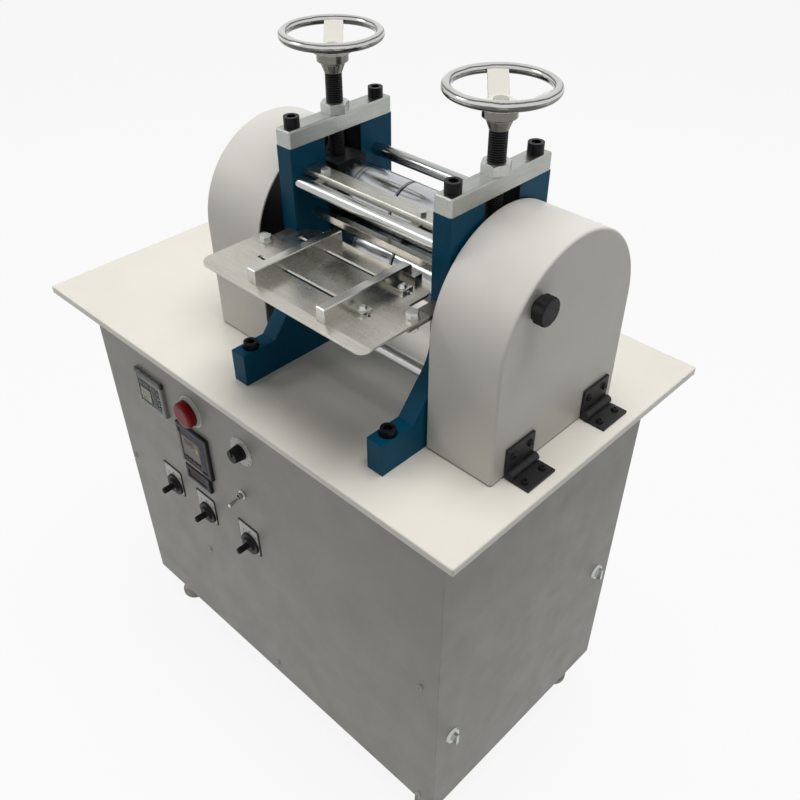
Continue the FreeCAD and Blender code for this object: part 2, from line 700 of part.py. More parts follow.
def handwheel(side):
    """Cast hub, three broad dished spokes and a polished round rim."""
    name = FRAME_NAMES[side] + "_handwheel"
    wheel = body(name, SPINDLES[side], "roll_y")
    wheel.Placement = Placement(Vector(), Rotation(Vector(0, 0, 1), size_of("spoke_turn")))
    revolve(wheel, outline(wheel, "xz", [
        ("stem_radius", "screw_shoulder"), ("hub_low_radius", "screw_shoulder"),
        ("hub_mid_radius", "collar_z - 2"), ("hub_mid_radius", "collar_z"),
        ("collar_radius - 1", "collar_z"), ("collar_radius", "collar_z + 1"),
        ("collar_radius", "collar_top - 1"), ("collar_radius - 1", "collar_top"),
        ("stem_radius", "collar_top")]))
    spoke = outline(wheel, "xz", [
        ("spoke_root", "collar_top - spoke_thick"), ("spoke_heel", "collar_top - spoke_thick"),
        ("spoke_toe", "rim_z - spoke_thick/2 - 1"), ("wheel_radius", "rim_z - spoke_thick/2"),
        ("wheel_radius", "rim_z + spoke_thick/2"), ("spoke_toe", "rim_z + spoke_thick/2 - 1"),
        ("spoke_heel - 1", "collar_top"), ("spoke_root", "collar_top")])
    arm = pad(wheel, spoke, "spoke_wide")
    arm.Midplane = True
    arms = wheel.newObject("PartDesign::PolarPattern", name + "_arms")
    arms.Originals = [arm]
    arms.Axis = ([f for f in wheel.Origin.OriginFeatures if f.Role == "Z_Axis"][0], [""])
    arms.Angle = 360
    arms.Occurrences = 3
    wheel.Tip = arms
    revolve(wheel, circles(wheel, "xz", [("wheel_radius", "rim_z", "rim_tube")]))
    subpart(wheel, "table_high")


# ---------------------------------------------------------------- chain drive and gear motor

sizes(sprocket_thick=7, roller_radius=4.1, tooth_rise=3.6, sprocket_hub_radius=24)
sizes(sprocket_hub_long=14, pinion_hub_radius=20, output_radius=10)
sizes(plate_offset=4.2, plate_thick=1.5, plate_half=5, spacer_step=50.8)
sizes(web_hole_radius=17, web_hole_reach=60, web_holes=6)


def pitch_radius(teeth):
    return size_of("chain_pitch") / (2 * math.sin(math.pi / teeth))


def sprocket_shape(teeth, bore, hub_radius, hub_long):
    """Roller-chain sprocket about X: half-round seats, straight flanks, a hub towards -X."""
    pitch = pitch_radius(teeth)
    seat = size_of("roller_radius")
    tip = pitch + size_of("tooth_rise")

    def spot(radius, angle):
        return Vector(0, radius * math.sin(angle), radius * math.cos(angle))

    edges = []
    step = 2 * math.pi / teeth
    for index in range(teeth):
        centre = step * index
        left = spot(pitch, centre - seat / pitch)
        right = spot(pitch, centre + seat / pitch)
        tip_right = spot(tip, centre + step * 0.41)
        tip_next = spot(tip, centre + step * 0.59)
        edges.append(Part.Arc(left, spot(pitch - seat, centre), right).toShape())
        edges.append(Part.makeLine(right, tip_right))
        edges.append(Part.makeLine(tip_right, tip_next))
        edges.append(Part.makeLine(tip_next, spot(pitch, centre + step - seat / pitch)))
    thick = size_of("sprocket_thick")
    along = Vector(1, 0, 0)
    disc = Part.Face(Part.Wire(Part.__sortEdges__(edges))).extrude(Vector(thick, 0, 0))
    disc.translate(Vector(-thick / 2, 0, 0))
    hub = Part.makeCylinder(hub_radius, hub_long, Vector(-thick / 2 - hub_long, 0, 0), along)
    hole = Part.makeCylinder(bore, thick + hub_long + 2, Vector(-thick / 2 - hub_long - 1, 0, 0),
                             along)
    return disc.fuse(hub).cut(hole)


def lightening_holes(shape):
    """Ring of round holes through the web of the large sprocket."""
    count = int(size_of("web_holes"))
    reach = size_of("web_hole_reach")
    hub = size_of("sprocket_hub_long") + size_of("sprocket_thick")
    for index in range(count):
        angle = math.pi * (2 * index + 1) / count
        start = Vector(-hub, reach * math.cos(angle), reach * math.sin(angle))
        shape = shape.cut(Part.makeCylinder(size_of("web_hole_radius"), 2 * hub, start,
                                            Vector(1, 0, 0)))
    return shape


def sprockets():
    """Large sprocket on the lower roll and the pinion on the gearbox."""
    large = DOC.addObject("Part::Feature", "roll_sprocket")
    large.Shape = lightening_holes(
        sprocket_shape(int(size_of("sprocket_teeth")), size_of("seat_radius"),
                       size_of("sprocket_hub_radius"), size_of("sprocket_hub_long")))
    place(large, "chain_x", "roll_y")
    subpart(large, "table_high + axis_low")
    small = DOC.addObject("Part::Feature", "drive_pinion")
    small.Shape = sprocket_shape(int(size_of("pinion_teeth")), size_of("output_radius"),
                                 size_of("pinion_hub_radius"), size_of("sprocket_hub_long"))
    place(small, "chain_x", "roll_y")
    subpart(small, "table_high + pinion_z")


def belt_wire(grow):
    """Loop round both sprockets, drawn grow outside the pitch line, in the YZ plane."""
    top = pitch_radius(size_of("sprocket_teeth")) + grow
    low = pitch_radius(size_of("pinion_teeth")) + grow
    drop = size_of("axis_low") - size_of("pinion_z")
    lean = math.asin((top - low) / drop)

    def spot(radius, angle, z):
        return Vector(0, radius * math.cos(angle), z + radius * math.sin(angle))

    right_top = spot(top, -lean, 0)
    left_top = spot(top, math.pi + lean, 0)
    right_low = spot(low, -lean, -drop)
    left_low = spot(low, math.pi + lean, -drop)
    return Part.Wire([
        Part.Arc(right_top, spot(top, math.pi / 2, 0), left_top).toShape(),
        Part.makeLine(left_top, left_low),
        Part.Arc(left_low, spot(low, -math.pi / 2, -drop), right_low).toShape(),
        Part.makeLine(right_low, right_top)])


def drive_chain():
    """Chain loop: two rows of side plates with cross pins on the free spans."""
    half = size_of("plate_half")
    thick = size_of("plate_thick")
    offset = size_of("plate_offset")
    ring = Part.Face(belt_wire(half)).cut(Part.Face(belt_wire(-half)))
    rows = []
    for side in SIDES:
        row = ring.extrude(Vector(thick, 0, 0))
        row.translate(Vector(offset if side > 0 else -offset - thick, 0, 0))
        rows.append(row)
    loop = rows[0].fuse(rows[1])
    span = belt_wire(0).Edges
    for edge in span:
        if edge.Curve.TypeId != "Part::GeomLine":
            continue
        count = int(edge.Length / size_of("spacer_step"))
        for index in range(1, count):
            spot = edge.valueAt(edge.FirstParameter + index * size_of("spacer_step"))
            pin = Part.makeCylinder(size_of("roller_radius"), 2 * offset + 2, spot
                                    - Vector(offset + 1, 0, 0), Vector(1, 0, 0))
            loop = loop.fuse(pin)
    item = DOC.addObject("Part::Feature", "drive_chain")
    item.Shape = loop
    place(item, "chain_x", "roll_y")
    subpart(item, "table_high + axis_low")


sizes(shelf_z=-345, shelf_left=-70, shelf_right=325, shelf_fold=22)
sizes(gearbox_x=206, gearbox_wide=62, gearbox_deep=96, gearbox_high=46, gearbox_slope=16)
sizes(gearbox_round=6, gear_rail_high=10, gear_rail_wide=24, gear_rail_reach=38)
sizes(gear_rib_thick=4, gear_rib_proud=3, gear_rib_low=-40, gear_rib_tall=66)
sizes(flange_radius=30, flange_thick=5, shaft_end=6)
sizes(motor_radius=58, motor_long=170, cowl_long=34, motor_z=-266, shell_radius=54)
sizes(bell_long=14, cowl_radius=52, fin_step=12, fin_top=48, fin_thick=3, fin_short=20)
sizes(terminal_start=60, terminal_long=70, terminal_wide=64, terminal_tall=34)
sizes(motor_foot_start=25, motor_foot_long=110, motor_foot_wide=28, motor_foot_reach=40)


def motor_shelf():
    """Folded steel shelf between the front and back sheets."""
    deep = "cabinet_deep - 2*sheet_thick"
    low_y = "-cabinet_deep/2 + sheet_thick"
    extent_x = "shelf_right - shelf_left"
    plate = box("shelf_plate", ("shelf_left", low_y, "shelf_z - pan_thick"),
                (extent_x, deep, "pan_thick"))
    folds = [box("shelf_edge", ("shelf_left", y, "shelf_z - shelf_fold"),
                 (extent_x, "pan_thick", "shelf_fold"))
             for y in (low_y, "cabinet_deep/2 - sheet_thick - pan_thick")]
    subpart(join("motor_shelf", plate, *folds), "table_high")


def gearbox():
    """Ribbed worm gearbox on two foot rails, with its output shaft along +X."""
    case = body("gearbox_case", "gearbox_x", "roll_y", "pinion_z")
    floor = "shelf_z - pinion_z + gear_rail_high"
    half = "gearbox_deep/2"
    shoulder = "gearbox_high - gearbox_slope"
    block = pad(case, outline(case, "yz", [
        ("-" + half, floor), (half, floor), (half, shoulder),
        (half + " - gearbox_slope", "gearbox_high"), ("gearbox_slope - " + half, "gearbox_high"),
        ("-" + half, shoulder)]), "gearbox_wide")
    dress(case, "Fillet", block, "gearbox_round",
          lambda edge: edge.BoundBox.XLength > 1 and edge.BoundBox.ZMax > 0)
    rails = [box("gearbox_rail", (
        "gearbox_x - shaft_end", "roll_y + %d*gear_rail_reach - gear_rail_wide/2" % side,
        "shelf_z"), ("gearbox_wide + 2*shaft_end", "gear_rail_wide", "gear_rail_high"))
        for side in SIDES]
    end = ("gearbox_x + gearbox_wide", "roll_y", "pinion_z")
    flange = cylinder("gearbox_flange", end, "x", "flange_radius", "flange_thick")
    shaft = cylinder("gearbox_shaft", end, "x", "output_radius - bearing_clearance",
                     "chain_x + sprocket_thick/2 + shaft_end - gearbox_x - gearbox_wide")
    ribs = [box("gearbox_rib", ("gearbox_x + gearbox_wide*%d/5 - gear_rib_thick/2" % step,
                                "roll_y - gearbox_deep/2 - gear_rib_proud",
                                "pinion_z + gear_rib_low"),
                ("gear_rib_thick", "gearbox_deep + 2*gear_rib_proud", "gear_rib_tall"))
            for step in range(1, 5)]
    subpart(join("gearbox", case, flange, shaft, *(rails + ribs)), "table_high")


def motor():
    """Induction motor: finned body, end bell against the gearbox and a fan cowl."""
    start = "gearbox_x - motor_long"
    shell = cylinder("motor_shell", (start, "roll_y", "motor_z"), "x", "shell_radius",
                     "motor_long")
    bell = cylinder("motor_bell", ("gearbox_x - bell_long", "roll_y", "motor_z"), "x",
                    "motor_radius", "bell_long")
    cowl = cone("motor_cowl", (start + " - cowl_long", "roll_y", "motor_z"), "x",
                "cowl_radius", "motor_radius", "cowl_long")
    fins = []
    for step in range(6):
        height = "(fin_top - %d*fin_step)" % step
        reach = "sqrt(motor_radius^2 - %s^2)" % height
        fins.append(box("motor_fin", (start, "roll_y - " + reach,
                                      "motor_z + %s - fin_thick/2" % height),
                        ("motor_long - fin_short", "2*" + reach, "fin_thick")))
    terminal = box("motor_terminal_box", (start + " + terminal_start", "roll_y - terminal_wide/2",
                                          "motor_z + motor_radius - fin_step"),
                   ("terminal_long", "terminal_wide", "terminal_tall"))
    feet = [box("motor_foot", (
        start + " + motor_foot_start",
        "roll_y + %d*motor_foot_reach - motor_foot_wide/2" % side, "shelf_z"),
        ("motor_foot_long", "motor_foot_wide", "motor_z - shelf_z - motor_radius/2"))
        for side in SIDES]
    subpart(join("motor", shell, bell, cowl, terminal, *(fins + feet)), "table_high")


# ---------------------------------------------------------------- guards and hinges

sizes(guard_thick=2, guard_round=3, guard_radius=118, guard_y=-5, guard_arch=150, guard_gap=2)
sizes(right_guard_x=253, right_guard_wide=97, left_guard_x=-138, left_guard_wide=105)


def arch(name, x, wide, shrink, floor):
    """Tunnel shape: upright sides under a half round, running along X."""
    radius = "(guard_radius - %s)" % shrink
    walls = box(name + "_walls", (x, "guard_y - " + radius, floor),
                (wide, "2*" + radius, "guard_arch - " + floor))
    crown = cylinder(name + "_crown", (x, "guard_y", "guard_arch"), "x", radius, wide)
    return join(name, walls, crown)


def guard_shell(name, x, wide, closed_left):
    """Folded sheet cover, open towards the frame and underneath."""
    outer = arch(name + "_outer", x, wide, "0", "guard_gap")
    face = size_of(x) if closed_left else size_of(x) + size_of(wide)
    soft = rounded(name + "_soft", outer, size_of("guard_round"),
                   lambda edge: edge_at(edge, x=face) and edge.BoundBox.ZMax > 10)
    inner_x = "(%s + guard_thick)" % x if closed_left else "(%s - 1)" % x
    inner = arch(name + "_inner", inner_x, "(%s - guard_thick + 1)" % wide, "guard_thick", "0")
    return cut(name, soft, inner)


sizes(tab_long=40, tab_wide=14, tab_tall=12, tab_x=-110)


def left_guard():
    """Fixed cover of the roll gears, with two inward tabs screwed to the table."""
    shell = guard_shell("left_guard_shell", "left_guard_x", "left_guard_wide", True)
    tabs = []
    for side in SIDES:
        reach = "(guard_radius - guard_thick)"
        low = "guard_y + %d*%s" % (side, reach)
        tabs.append(box("left_guard_tab", ("tab_x", low if side < 0 else low + " - tab_wide",
                                           "0"), ("tab_long", "tab_wide", "guard_gap")))
        tabs.append(box("left_guard_fold", ("tab_x", low if side < 0 else low + " - guard_thick",
                                            "0"), ("tab_long", "guard_thick", "tab_tall")))
    subpart(join("left_guard", shell, *tabs), "table_high")


def right_guard():
    """Hinged cover of the chain drive, with the hole for the knob's screw."""
    shell = guard_shell("right_guard_shell", "right_guard_x", "right_guard_wide", False)
    hole = cylinder("knob_hole", ("right_guard_x + right_guard_wide - guard_thick - 1", "knob_y",
                                  "knob_z"), "x", "knob_stud", "guard_thick + 2")
    subpart(cut("right_guard", shell, hole), "table_high")


sizes(knob_y=-74, knob_z=216, knob_stud=4, knob_radius=16, knob_neck=9, knob_long=18)
sizes(knob_head=14, knob_lobes=5, flute_radius=7, flute_reach=21, stud_inside=10)
sizes(knob_nut_flats=13, knob_nut_thick=7)


def guard_knob():
    """Lobed hand knob on a stud through the guard, with a nut inside."""
    face = "right_guard_x + right_guard_wide"
    back = face + " - guard_thick"
    neck = cylinder("knob_neck_turned", (face, "knob_y", "knob_z"), "x", "knob_neck",
                    "knob_long - 1")
    grip = cylinder("knob_grip", (face + " + knob_long - knob_head", "knob_y", "knob_z"), "x",
                    "knob_radius", "knob_head")
    head = rounded("knob_soft", join("knob_blank", neck, grip), 2,
                   lambda edge: edge.Length > 6.2 * size_of("knob_radius") and
                   edge.BoundBox.XLength < 0.01)
    flutes = []
    count = int(size_of("knob_lobes"))
    for index in range(count):
        angle = 2 * math.pi * index / count
        flutes.append(cylinder("knob_flute", (
            face + " + knob_long - knob_head - 1",
            "knob_y + %.5f*flute_reach" % math.cos(angle),
            "knob_z + %.5f*flute_reach" % math.sin(angle)), "x", "flute_radius", "knob_head + 2"))
    stud = cylinder("knob_screw", (back + " - stud_inside", "knob_y", "knob_z"), "x",
                    "knob_stud - bearing_clearance", "stud_inside + guard_thick")
    lock = hexagon("knob_nut", (back + " - knob_nut_thick - 0.2", "knob_y", "knob_z"), "x",
                   "knob_nut_flats", "knob_nut_thick")
    subpart(join("guard_knob", cut("knob_head_turned", head, *flutes), stud, lock), "table_high")


sizes(hinge_x=357, hinge_z=7, knuckle_radius=6, hinge_pin=3, leaf_thick=3.5, leaf_wide=50)
sizes(hinge_front=-75.5, hinge_rear=72, leaf_top=42, leaf_out=386)
HINGES = ("hinge_front", "hinge_rear")


def knuckles(name, middle, slots):
    """The barrel pieces of one leaf, in the given fifths of its width."""
    return [cylinder(name, ("hinge_x", "%s - leaf_wide/2 + %d*leaf_wide/5 + 0.15" % (middle, slot),
                            "hinge_z"), "y", "knuckle_radius", "leaf_wide/5 - 0.3")
            for slot in slots]


def leaf(name, middle, plate, slots):
    """One hinge leaf: plate and barrel pieces, cleared for the other leaf and bored."""
    gaps = [slot for slot in range(5) if slot not in slots]
    clear = [cylinder(name + "_clear", (
        "hinge_x", "%s - leaf_wide/2 + %d*leaf_wide/5 - 0.15" % (middle, slot), "hinge_z"), "y",
        "knuckle_radius + 0.4", "leaf_wide/5 + 0.3") for slot in gaps]
    bore = cylinder(name + "_bore", ("hinge_x", middle + " - leaf_wide/2 - 1", "hinge_z"), "y",
                    "hinge_pin + bearing_clearance", "leaf_wide + 2")
    blank = join(name + "_blank", cut(name + "_plate_cleared", plate, *clear),
                 *knuckles(name + "_barrel", middle, slots))
    return cut(name, blank, bore)


def hinges():
    """Two cast hinges: table leaves, guard leaves and their pins."""
    table_leaves = []
    guard_leaves = []
    pins = []
    for middle in HINGES:
        low_y = middle + " - leaf_wide/2"
        flat = box("table_plate", ("hinge_x", low_y, "0"),
                   ("leaf_out - hinge_x", "leaf_wide", "leaf_thick"))
        table_leaves.append(leaf("table_leaf", middle, flat, (1, 3)))
        wall = box("guard_plate", ("right_guard_x + right_guard_wide", low_y, "hinge_z"),
                   ("leaf_thick", "leaf_wide", "leaf_top - hinge_z"))
        guard_leaves.append(leaf("guard_leaf", middle, wall, (0, 2, 4)))
        pins.append(cylinder("hinge_pin_rod", ("hinge_x", low_y, "hinge_z"), "y", "hinge_pin",
                             "leaf_wide"))
    subpart(group("hinge_table_leaves", table_leaves + pins), "table_high")
    subpart(group("hinge_guard_leaves", guard_leaves), "table_high")


# ---------------------------------------------------------------- feed table, guides, nip guard

sizes(feed_top=183, feed_thick=3, feed_front=-219, feed_crease=-207, feed_drop=2)
sizes(feed_step=-122, feed_back=-75, neck_left=11, neck_right=222, feed_left=-18, feed_right=251)
sizes(feed_round=12, neck_round=22, slot_left=24, slot_right=208, slot_half=3, slot_front=-165)
sizes(slot_rear=-104, bracket_left_x=2, bracket_right_x=240, bracket_bolt_y=-136)
sizes(bracket_bolt=4, bracket_thick=5, bracket_wide=20, bracket_drop=30, bracket_front=-152)
sizes(bracket_bend=8, small_flats=13, small_head=5.5, small_nut=6.5, washer_radius=8)
sizes(washer_thick=1.6, bolt_tail=3.5)


def feed_table():
    """Stainless T-shaped plate: front lip bent down, two adjusting slots, two bolt holes."""
    table = body("feed_table", z="table_high")
    under = "feed_top - feed_thick"
    strip = pad(table, outline(table, "yz", [
        ("feed_front", under + " - feed_drop"), ("feed_crease", under), ("feed_back", under),
        ("feed_back", "feed_top"), ("feed_crease", "feed_top"),
        ("feed_front", "feed_top - feed_drop")], "feed_left"), "feed_right - feed_left")
    corners = dress(table, "Fillet", strip, "feed_round",
                    lambda edge: upright(edge) and edge.BoundBox.YMin < size_of("feed_front") + 1)
    for left, right in (("feed_left - 5", "neck_left"), ("neck_right", "feed_right + 5")):
        pocket(table, outline(table, "xy", rectangle(left, right, "feed_step", "feed_back + 5")))
    for middle in ("slot_front", "slot_rear"):
        pocket(table, outline(table, "xy", rectangle("slot_left", "slot_right",
                                                     middle + " - slot_half",
                                                     middle + " + slot_half")))
    holed = pocket(table, circles(table, "xy", [(x, "bracket_bolt_y", "bracket_bolt")
                                                for x in ("bracket_left_x", "bracket_right_x")]))
    dress(table, "Fillet", holed, "neck_round",
          lambda edge: upright(edge) and edge.BoundBox.YMin > size_of("feed_back") - 1)
    subpart(table, "table_high")


def feed_brackets():
    """Bent angle brackets from each frame's front to the plate; returns their bolts."""
    brackets = []
    bolts = []
    for middle in ("bracket_left_x", "bracket_right_x"):
        arm = body("feed_bracket_%d" % len(brackets), middle + " - bracket_wide/2")
        under = "(feed_top - feed_thick)"
        wall = "(roll_y - frame_deep/2)"
        pad(arm, outline(arm, "yz", [
            ("bracket_front", under), ("bracket_front", under + " - bracket_thick"),
            (wall + " - bracket_thick - bracket_bend", under + " - bracket_thick"),
            (wall + " - bracket_thick", under + " - bracket_thick - bracket_bend"),
            (wall + " - bracket_thick", under + " - bracket_drop"),
            (wall, under + " - bracket_drop"), (wall, under)]), "bracket_wide")
        pocket(arm, circles(arm, "xy", [("bracket_wide/2", "bracket_bolt_y", "bracket_bolt")]))
        brackets.append(arm)
        spot = (middle, "bracket_bolt_y")
        head = nut("feed_bolt_head", spot + ("feed_top + washer_thick",), "z", "small_flats",
                   "small_head", "bracket_bolt")
        washer = cylinder("feed_washer", spot + ("feed_top",), "z", "washer_radius",
                          "washer_thick")
        below = under + " - bracket_thick - small_nut"
        stem = cylinder("feed_bolt_stem", spot + (below + " - bolt_tail",), "z", "bracket_bolt",
                        "feed_thick + bracket_thick + small_nut + bolt_tail + washer_thick"
                        " + small_head")
        tail = nut("feed_bolt_nut", spot + (below,), "z", "small_flats", "small_nut",
                   "bracket_bolt")
        bolts += [join("feed_bolt", head, washer, stem), tail]
    subpart(group("feed_table_brackets", brackets), "table_high")
    return bolts


sizes(rail_wide=13, rail_high=17, rail_front=-209, rail_rear=-79, left_rail_x=66.5)
sizes(right_rail_x=178.5, lug_thick=4, lug_long=18, lug_half=8, lug_screw=3, lug_reach=16.5)
sizes(ear_long=12, ear_front=8, ear_rear=4, ear_high=9, lug_head=5.5, lug_head_high=3.5)
sizes(lug_nut_flats=10, lug_nut_thick=4.7, lug_tail=8)


def guide_rail(name, rail_x, side):
    """Side guide: square bar with two slotted-plate lugs and a clamp ear at its rear end."""
    rail = body(name, rail_x, "0", "feed_top")
    bar = pad(rail, outline(rail, "xy", rectangle("-rail_wide/2", "rail_wide/2", "rail_front",
                                                  "rail_rear")), "rail_high")
    dress(rail, "Chamfer", bar, "1", lambda edge: edge_at(edge, z=size_of("rail_high")))
    near = "%d*(rail_wide/2 - 1)" % side
    far = "%d*(rail_wide/2 + lug_long)" % side
    for middle in ("slot_front", "slot_rear"):
        pad(rail, outline(rail, "xy", rectangle(near, far, middle + " - lug_half",
                                                middle + " + lug_half")), "lug_thick")
    pad(rail, outline(rail, "xy", rectangle("%d*(rail_wide/2 - 1)" % side,
                                            "%d*(rail_wide/2 + ear_long)" % side,
                                            "rail_rear - ear_front", "rail_rear + ear_rear")),
        "ear_high")
    pocket(rail, circles(rail, "xy", [("%d*lug_reach" % side, middle, "lug_screw")
                                      for middle in ("slot_front", "slot_rear")]))
    return rail


def guide_screw(x, y):
    """Button-head screw through a lug and the plate's slot, with a nut underneath."""
    under = "feed_top - feed_thick"
    head = cone("guide_head", (x, y, "feed_top + lug_thick"), "z", "lug_head", "lug_head - 2",
                "lug_head_high")
    stem = cylinder("guide_stem", (x, y, under + " - lug_tail"), "z", "lug_screw - 0.1",
                    "feed_thick + lug_thick + lug_tail")
    tail = hexagon("guide_nut", (x, y, under + " - lug_nut_thick - 0.3"), "z", "lug_nut_flats",
                   "lug_nut_thick")
    return join("guide_screw", head, stem, tail)


def guides():
    """Left and right strap guides with their clamp screws."""
    for side in SIDES:
        name = FRAME_NAMES[side]
        rail_x = name + "_rail_x"
        screws = [guide_screw("%s + %d*lug_reach" % (rail_x, side), y)
                  for y in ("slot_front", "slot_rear")]
        rail = guide_rail(name + "_rail", rail_x, side)
        subpart(group(name + "_guide_rail", [rail] + screws), "table_high")


sizes(guide_bar_front=-64, guide_bar_deep=10, guide_bar_low=191, guide_bar_tall=9)
sizes(nip_bar_low=247, nip_bar_tall=8, nip_bar_front=-74, nip_bar_deep=22)
sizes(clamp_left_x=34, clamp_right_x=186, clamp_half=6, clamp_reach=11, clamp_bolt_y=-65)
sizes(clamp_bolt=3, clamp_bolt_flats=10, clamp_bolt_head=4)


def strap_bars():
    """Cross guide just above the plate, and the flat finger guard before the nip."""
    guide = box("guide_crossbar", ("mill_x - frame_gap/2", "guide_bar_front", "0"),
                ("frame_gap", "guide_bar_deep", "guide_bar_tall"))
    subpart(guide, "table_high + guide_bar_low")
    bar = body("nip_guard_bar", "mill_x", "0", "nip_bar_low")
    blank = pad(bar, outline(bar, "xy", rectangle(
        "-frame_gap/2 + 0.5", "frame_gap/2 - 0.5", "nip_bar_front",
        "nip_bar_front + nip_bar_deep")), "nip_bar_tall")
    dress(bar, "Chamfer", blank, "1", lambda edge: edge_at(edge, z=size_of("nip_bar_tall")))
    pocket(bar, circles(bar, "xy", [(x + " - mill_x", "clamp_bolt_y", "clamp_bolt")
                                    for x in ("clamp_left_x", "clamp_right_x")]))
    subpart(bar, "table_high + nip_bar_low")


def nip_clamps():
    """Saddle blocks behind the upper front rod, under the finger guard; returns their bolts."""
    clamps = []
    bolts = []
    low = "rod_front_z - clamp_reach"
    for middle in ("clamp_left_x", "clamp_right_x"):
        block = body("nip_clamp_%d" % len(clamps), middle + " - clamp_half")
        pad(block, outline(block, "yz", rectangle(
            "rod_front_y + 1", "nip_bar_front + nip_bar_deep - 2", low, "nip_bar_low")),
            "2*clamp_half")
        pocket(block, circles(block, "yz", [("rod_front_y", "rod_front_z", "rod_radius")]))
        pocket(block, circles(block, "xy", [("clamp_half", "clamp_bolt_y", "clamp_bolt")]))
        clamps.append(block)
        top = "nip_bar_low + nip_bar_tall"
        spot = (middle, "clamp_bolt_y")
        head = nut("nip_bolt_head", spot + (top,), "z", "clamp_bolt_flats", "clamp_bolt_head",
                   "clamp_bolt")
        stem = cylinder("nip_bolt_stem", spot + (low,), "z", "clamp_bolt",
                        top + " + clamp_bolt_head - rod_front_z + clamp_reach")
        bolts.append(join("nip_bolt", head, stem))
    subpart(group("nip_guard_clamps", clamps), "table_high")
    return bolts


# ---------------------------------------------------------------- operator controls on the front

sizes(bezel_proud=6, bezel_round=2, bezel_frame=7, screen_deep=1.5, unit_deep=50)
sizes(cover_thick=2, cover_hinge=3, cover_inset=2, cover_gap=0.4)


def instrument(name, unit):
    """Panel instrument: bezel outside the sheet and a case through the window."""
    face = "-cabinet_deep/2"
    low_x = "%s_x - %s_wide/2" % (unit, unit)
    low_z = "%s_z - %s_tall/2" % (unit, unit)
    bezel = box(name + "_bezel", (low_x, face + " - bezel_proud", low_z),
                ("%s_wide" % unit, "bezel_proud", "%s_tall" % unit))
    edge = size_of("cabinet_deep") / 2 + size_of("bezel_proud")
    soft = rounded(name + "_soft", bezel, size_of("bezel_round"),
                   lambda line: edge_at(line, y=-edge))
    screen = box(name + "_screen", (low_x + " + bezel_frame", face + " - bezel_proud - 1",
                                    low_z + " + bezel_frame"),
                 ("%s_wide - 2*bezel_frame" % unit, "screen_deep + 1",
                  "%s_tall - 2*bezel_frame" % unit))
    case = box(name + "_case", (low_x + " + window_margin", face, low_z + " + window_margin"),
               ("%s_wide - 2*window_margin" % unit, "unit_deep",
                "%s_tall - 2*window_margin" % unit))
    subpart(join(name, cut(name + "_front", soft, screen), case))


def counter_cover():
    """Clear splash cover of the counter, hinged on a barrel above the bezel."""
    left = "counter_x - counter_wide/2 + cover_inset"
    wide = "counter_wide - 2*cover_inset"
    front = "-cabinet_deep/2 - bezel_proud - cover_gap - cover_thick"
    axis_y = "-cabinet_deep/2 - cover_hinge - cover_gap"
    axis_z = "counter_z + counter_tall/2 + cover_hinge + cover_gap"
    pane = box("cover_pane", (left, front, "counter_z - counter_tall/2 + cover_inset"),
               (wide, "cover_thick", "counter_tall - cover_inset + cover_hinge + cover_gap + 1"))
    web = box("cover_web", (left, front, axis_z + " - 1"),
              (wide, "bezel_proud + cover_thick - cover_hinge", "2"))
    barrel = cylinder("cover_barrel", (left, axis_y, axis_z), "x", "cover_hinge", wide)
    subpart(join("counter_cover", pane, web, barrel))


sizes(collar_proud=5, stop_ring=23.5, selector_ring=19.5, barrel_long=30, plunger_radius=7)
sizes(stop_head=20.5, stop_front=13, stop_gap=0.5, plunger_long=14)


def collar(spot, ring_radius, recess=None):
    """Threaded switch collar: ring outside the sheet, barrel through it, plunger bore."""
    x, z = spot + "_x", spot + "_z"
    front = "-cabinet_deep/2 - collar_proud"
    ring = cone(spot + "_ring", (x, front, z), "y", ring_radius + " - 1", ring_radius,
                "collar_proud")
    barrel = cylinder(spot + "_barrel", (x, "-cabinet_deep/2", z), "y", "panel_hole_radius",
                      "barrel_long")
    hollows = [cylinder(spot + "_bore", (x, front + " - 1", z), "y",
                        "plunger_radius + bearing_clearance", "barrel_long - 2")]
    if recess:
        hollows.append(cylinder(spot + "_recess", (x, front + " - 1", z), "y", recess,
                                "collar_proud"))
    return cut(spot + "_collar", join(spot + "_blank", ring, barrel), *hollows)


def switch_collars():
    """Collars of the three selectors and, recessed for its head, of the stop button."""
    collars = [collar("selector_" + letter, "selector_ring") for letter in SELECTORS]
    collars.append(collar("stop", "stop_ring", "stop_head + stop_gap"))
    subpart(group("switch_collars", collars))


def stop_button():
    """Red drum-shaped head on a plunger that slides in its collar."""
    button = body("stop_button", "stop_x", "-cabinet_deep/2 - collar_proud", "stop_z")
    profile = [("0", "-plunger_long"), ("plunger_radius", "-plunger_long"),
               ("plunger_radius", "stop_gap"), ("stop_head - 1", "stop_gap"),
               ("stop_head", "stop_gap + 1"), ("stop_head", "stop_front - 4"),
               ("stop_head - 0.6", "stop_front - 2.4"), ("stop_head - 2", "stop_front - 1"),
               ("stop_head - 4", "stop_front - 0.3"), ("stop_head - 7", "stop_front"),
               ("0", "stop_front")]
    revolve(button, outline(button, "xy", [(u, "-(%s)" % v) for u, v in profile]))
    subpart(button, "stop_z")


sizes(selector_boss=12.5, selector_boss_high=3.5, selector_gap=0.3, grip_wide=8, grip_tall=10)
sizes(grip_front=22, grip_round=3)


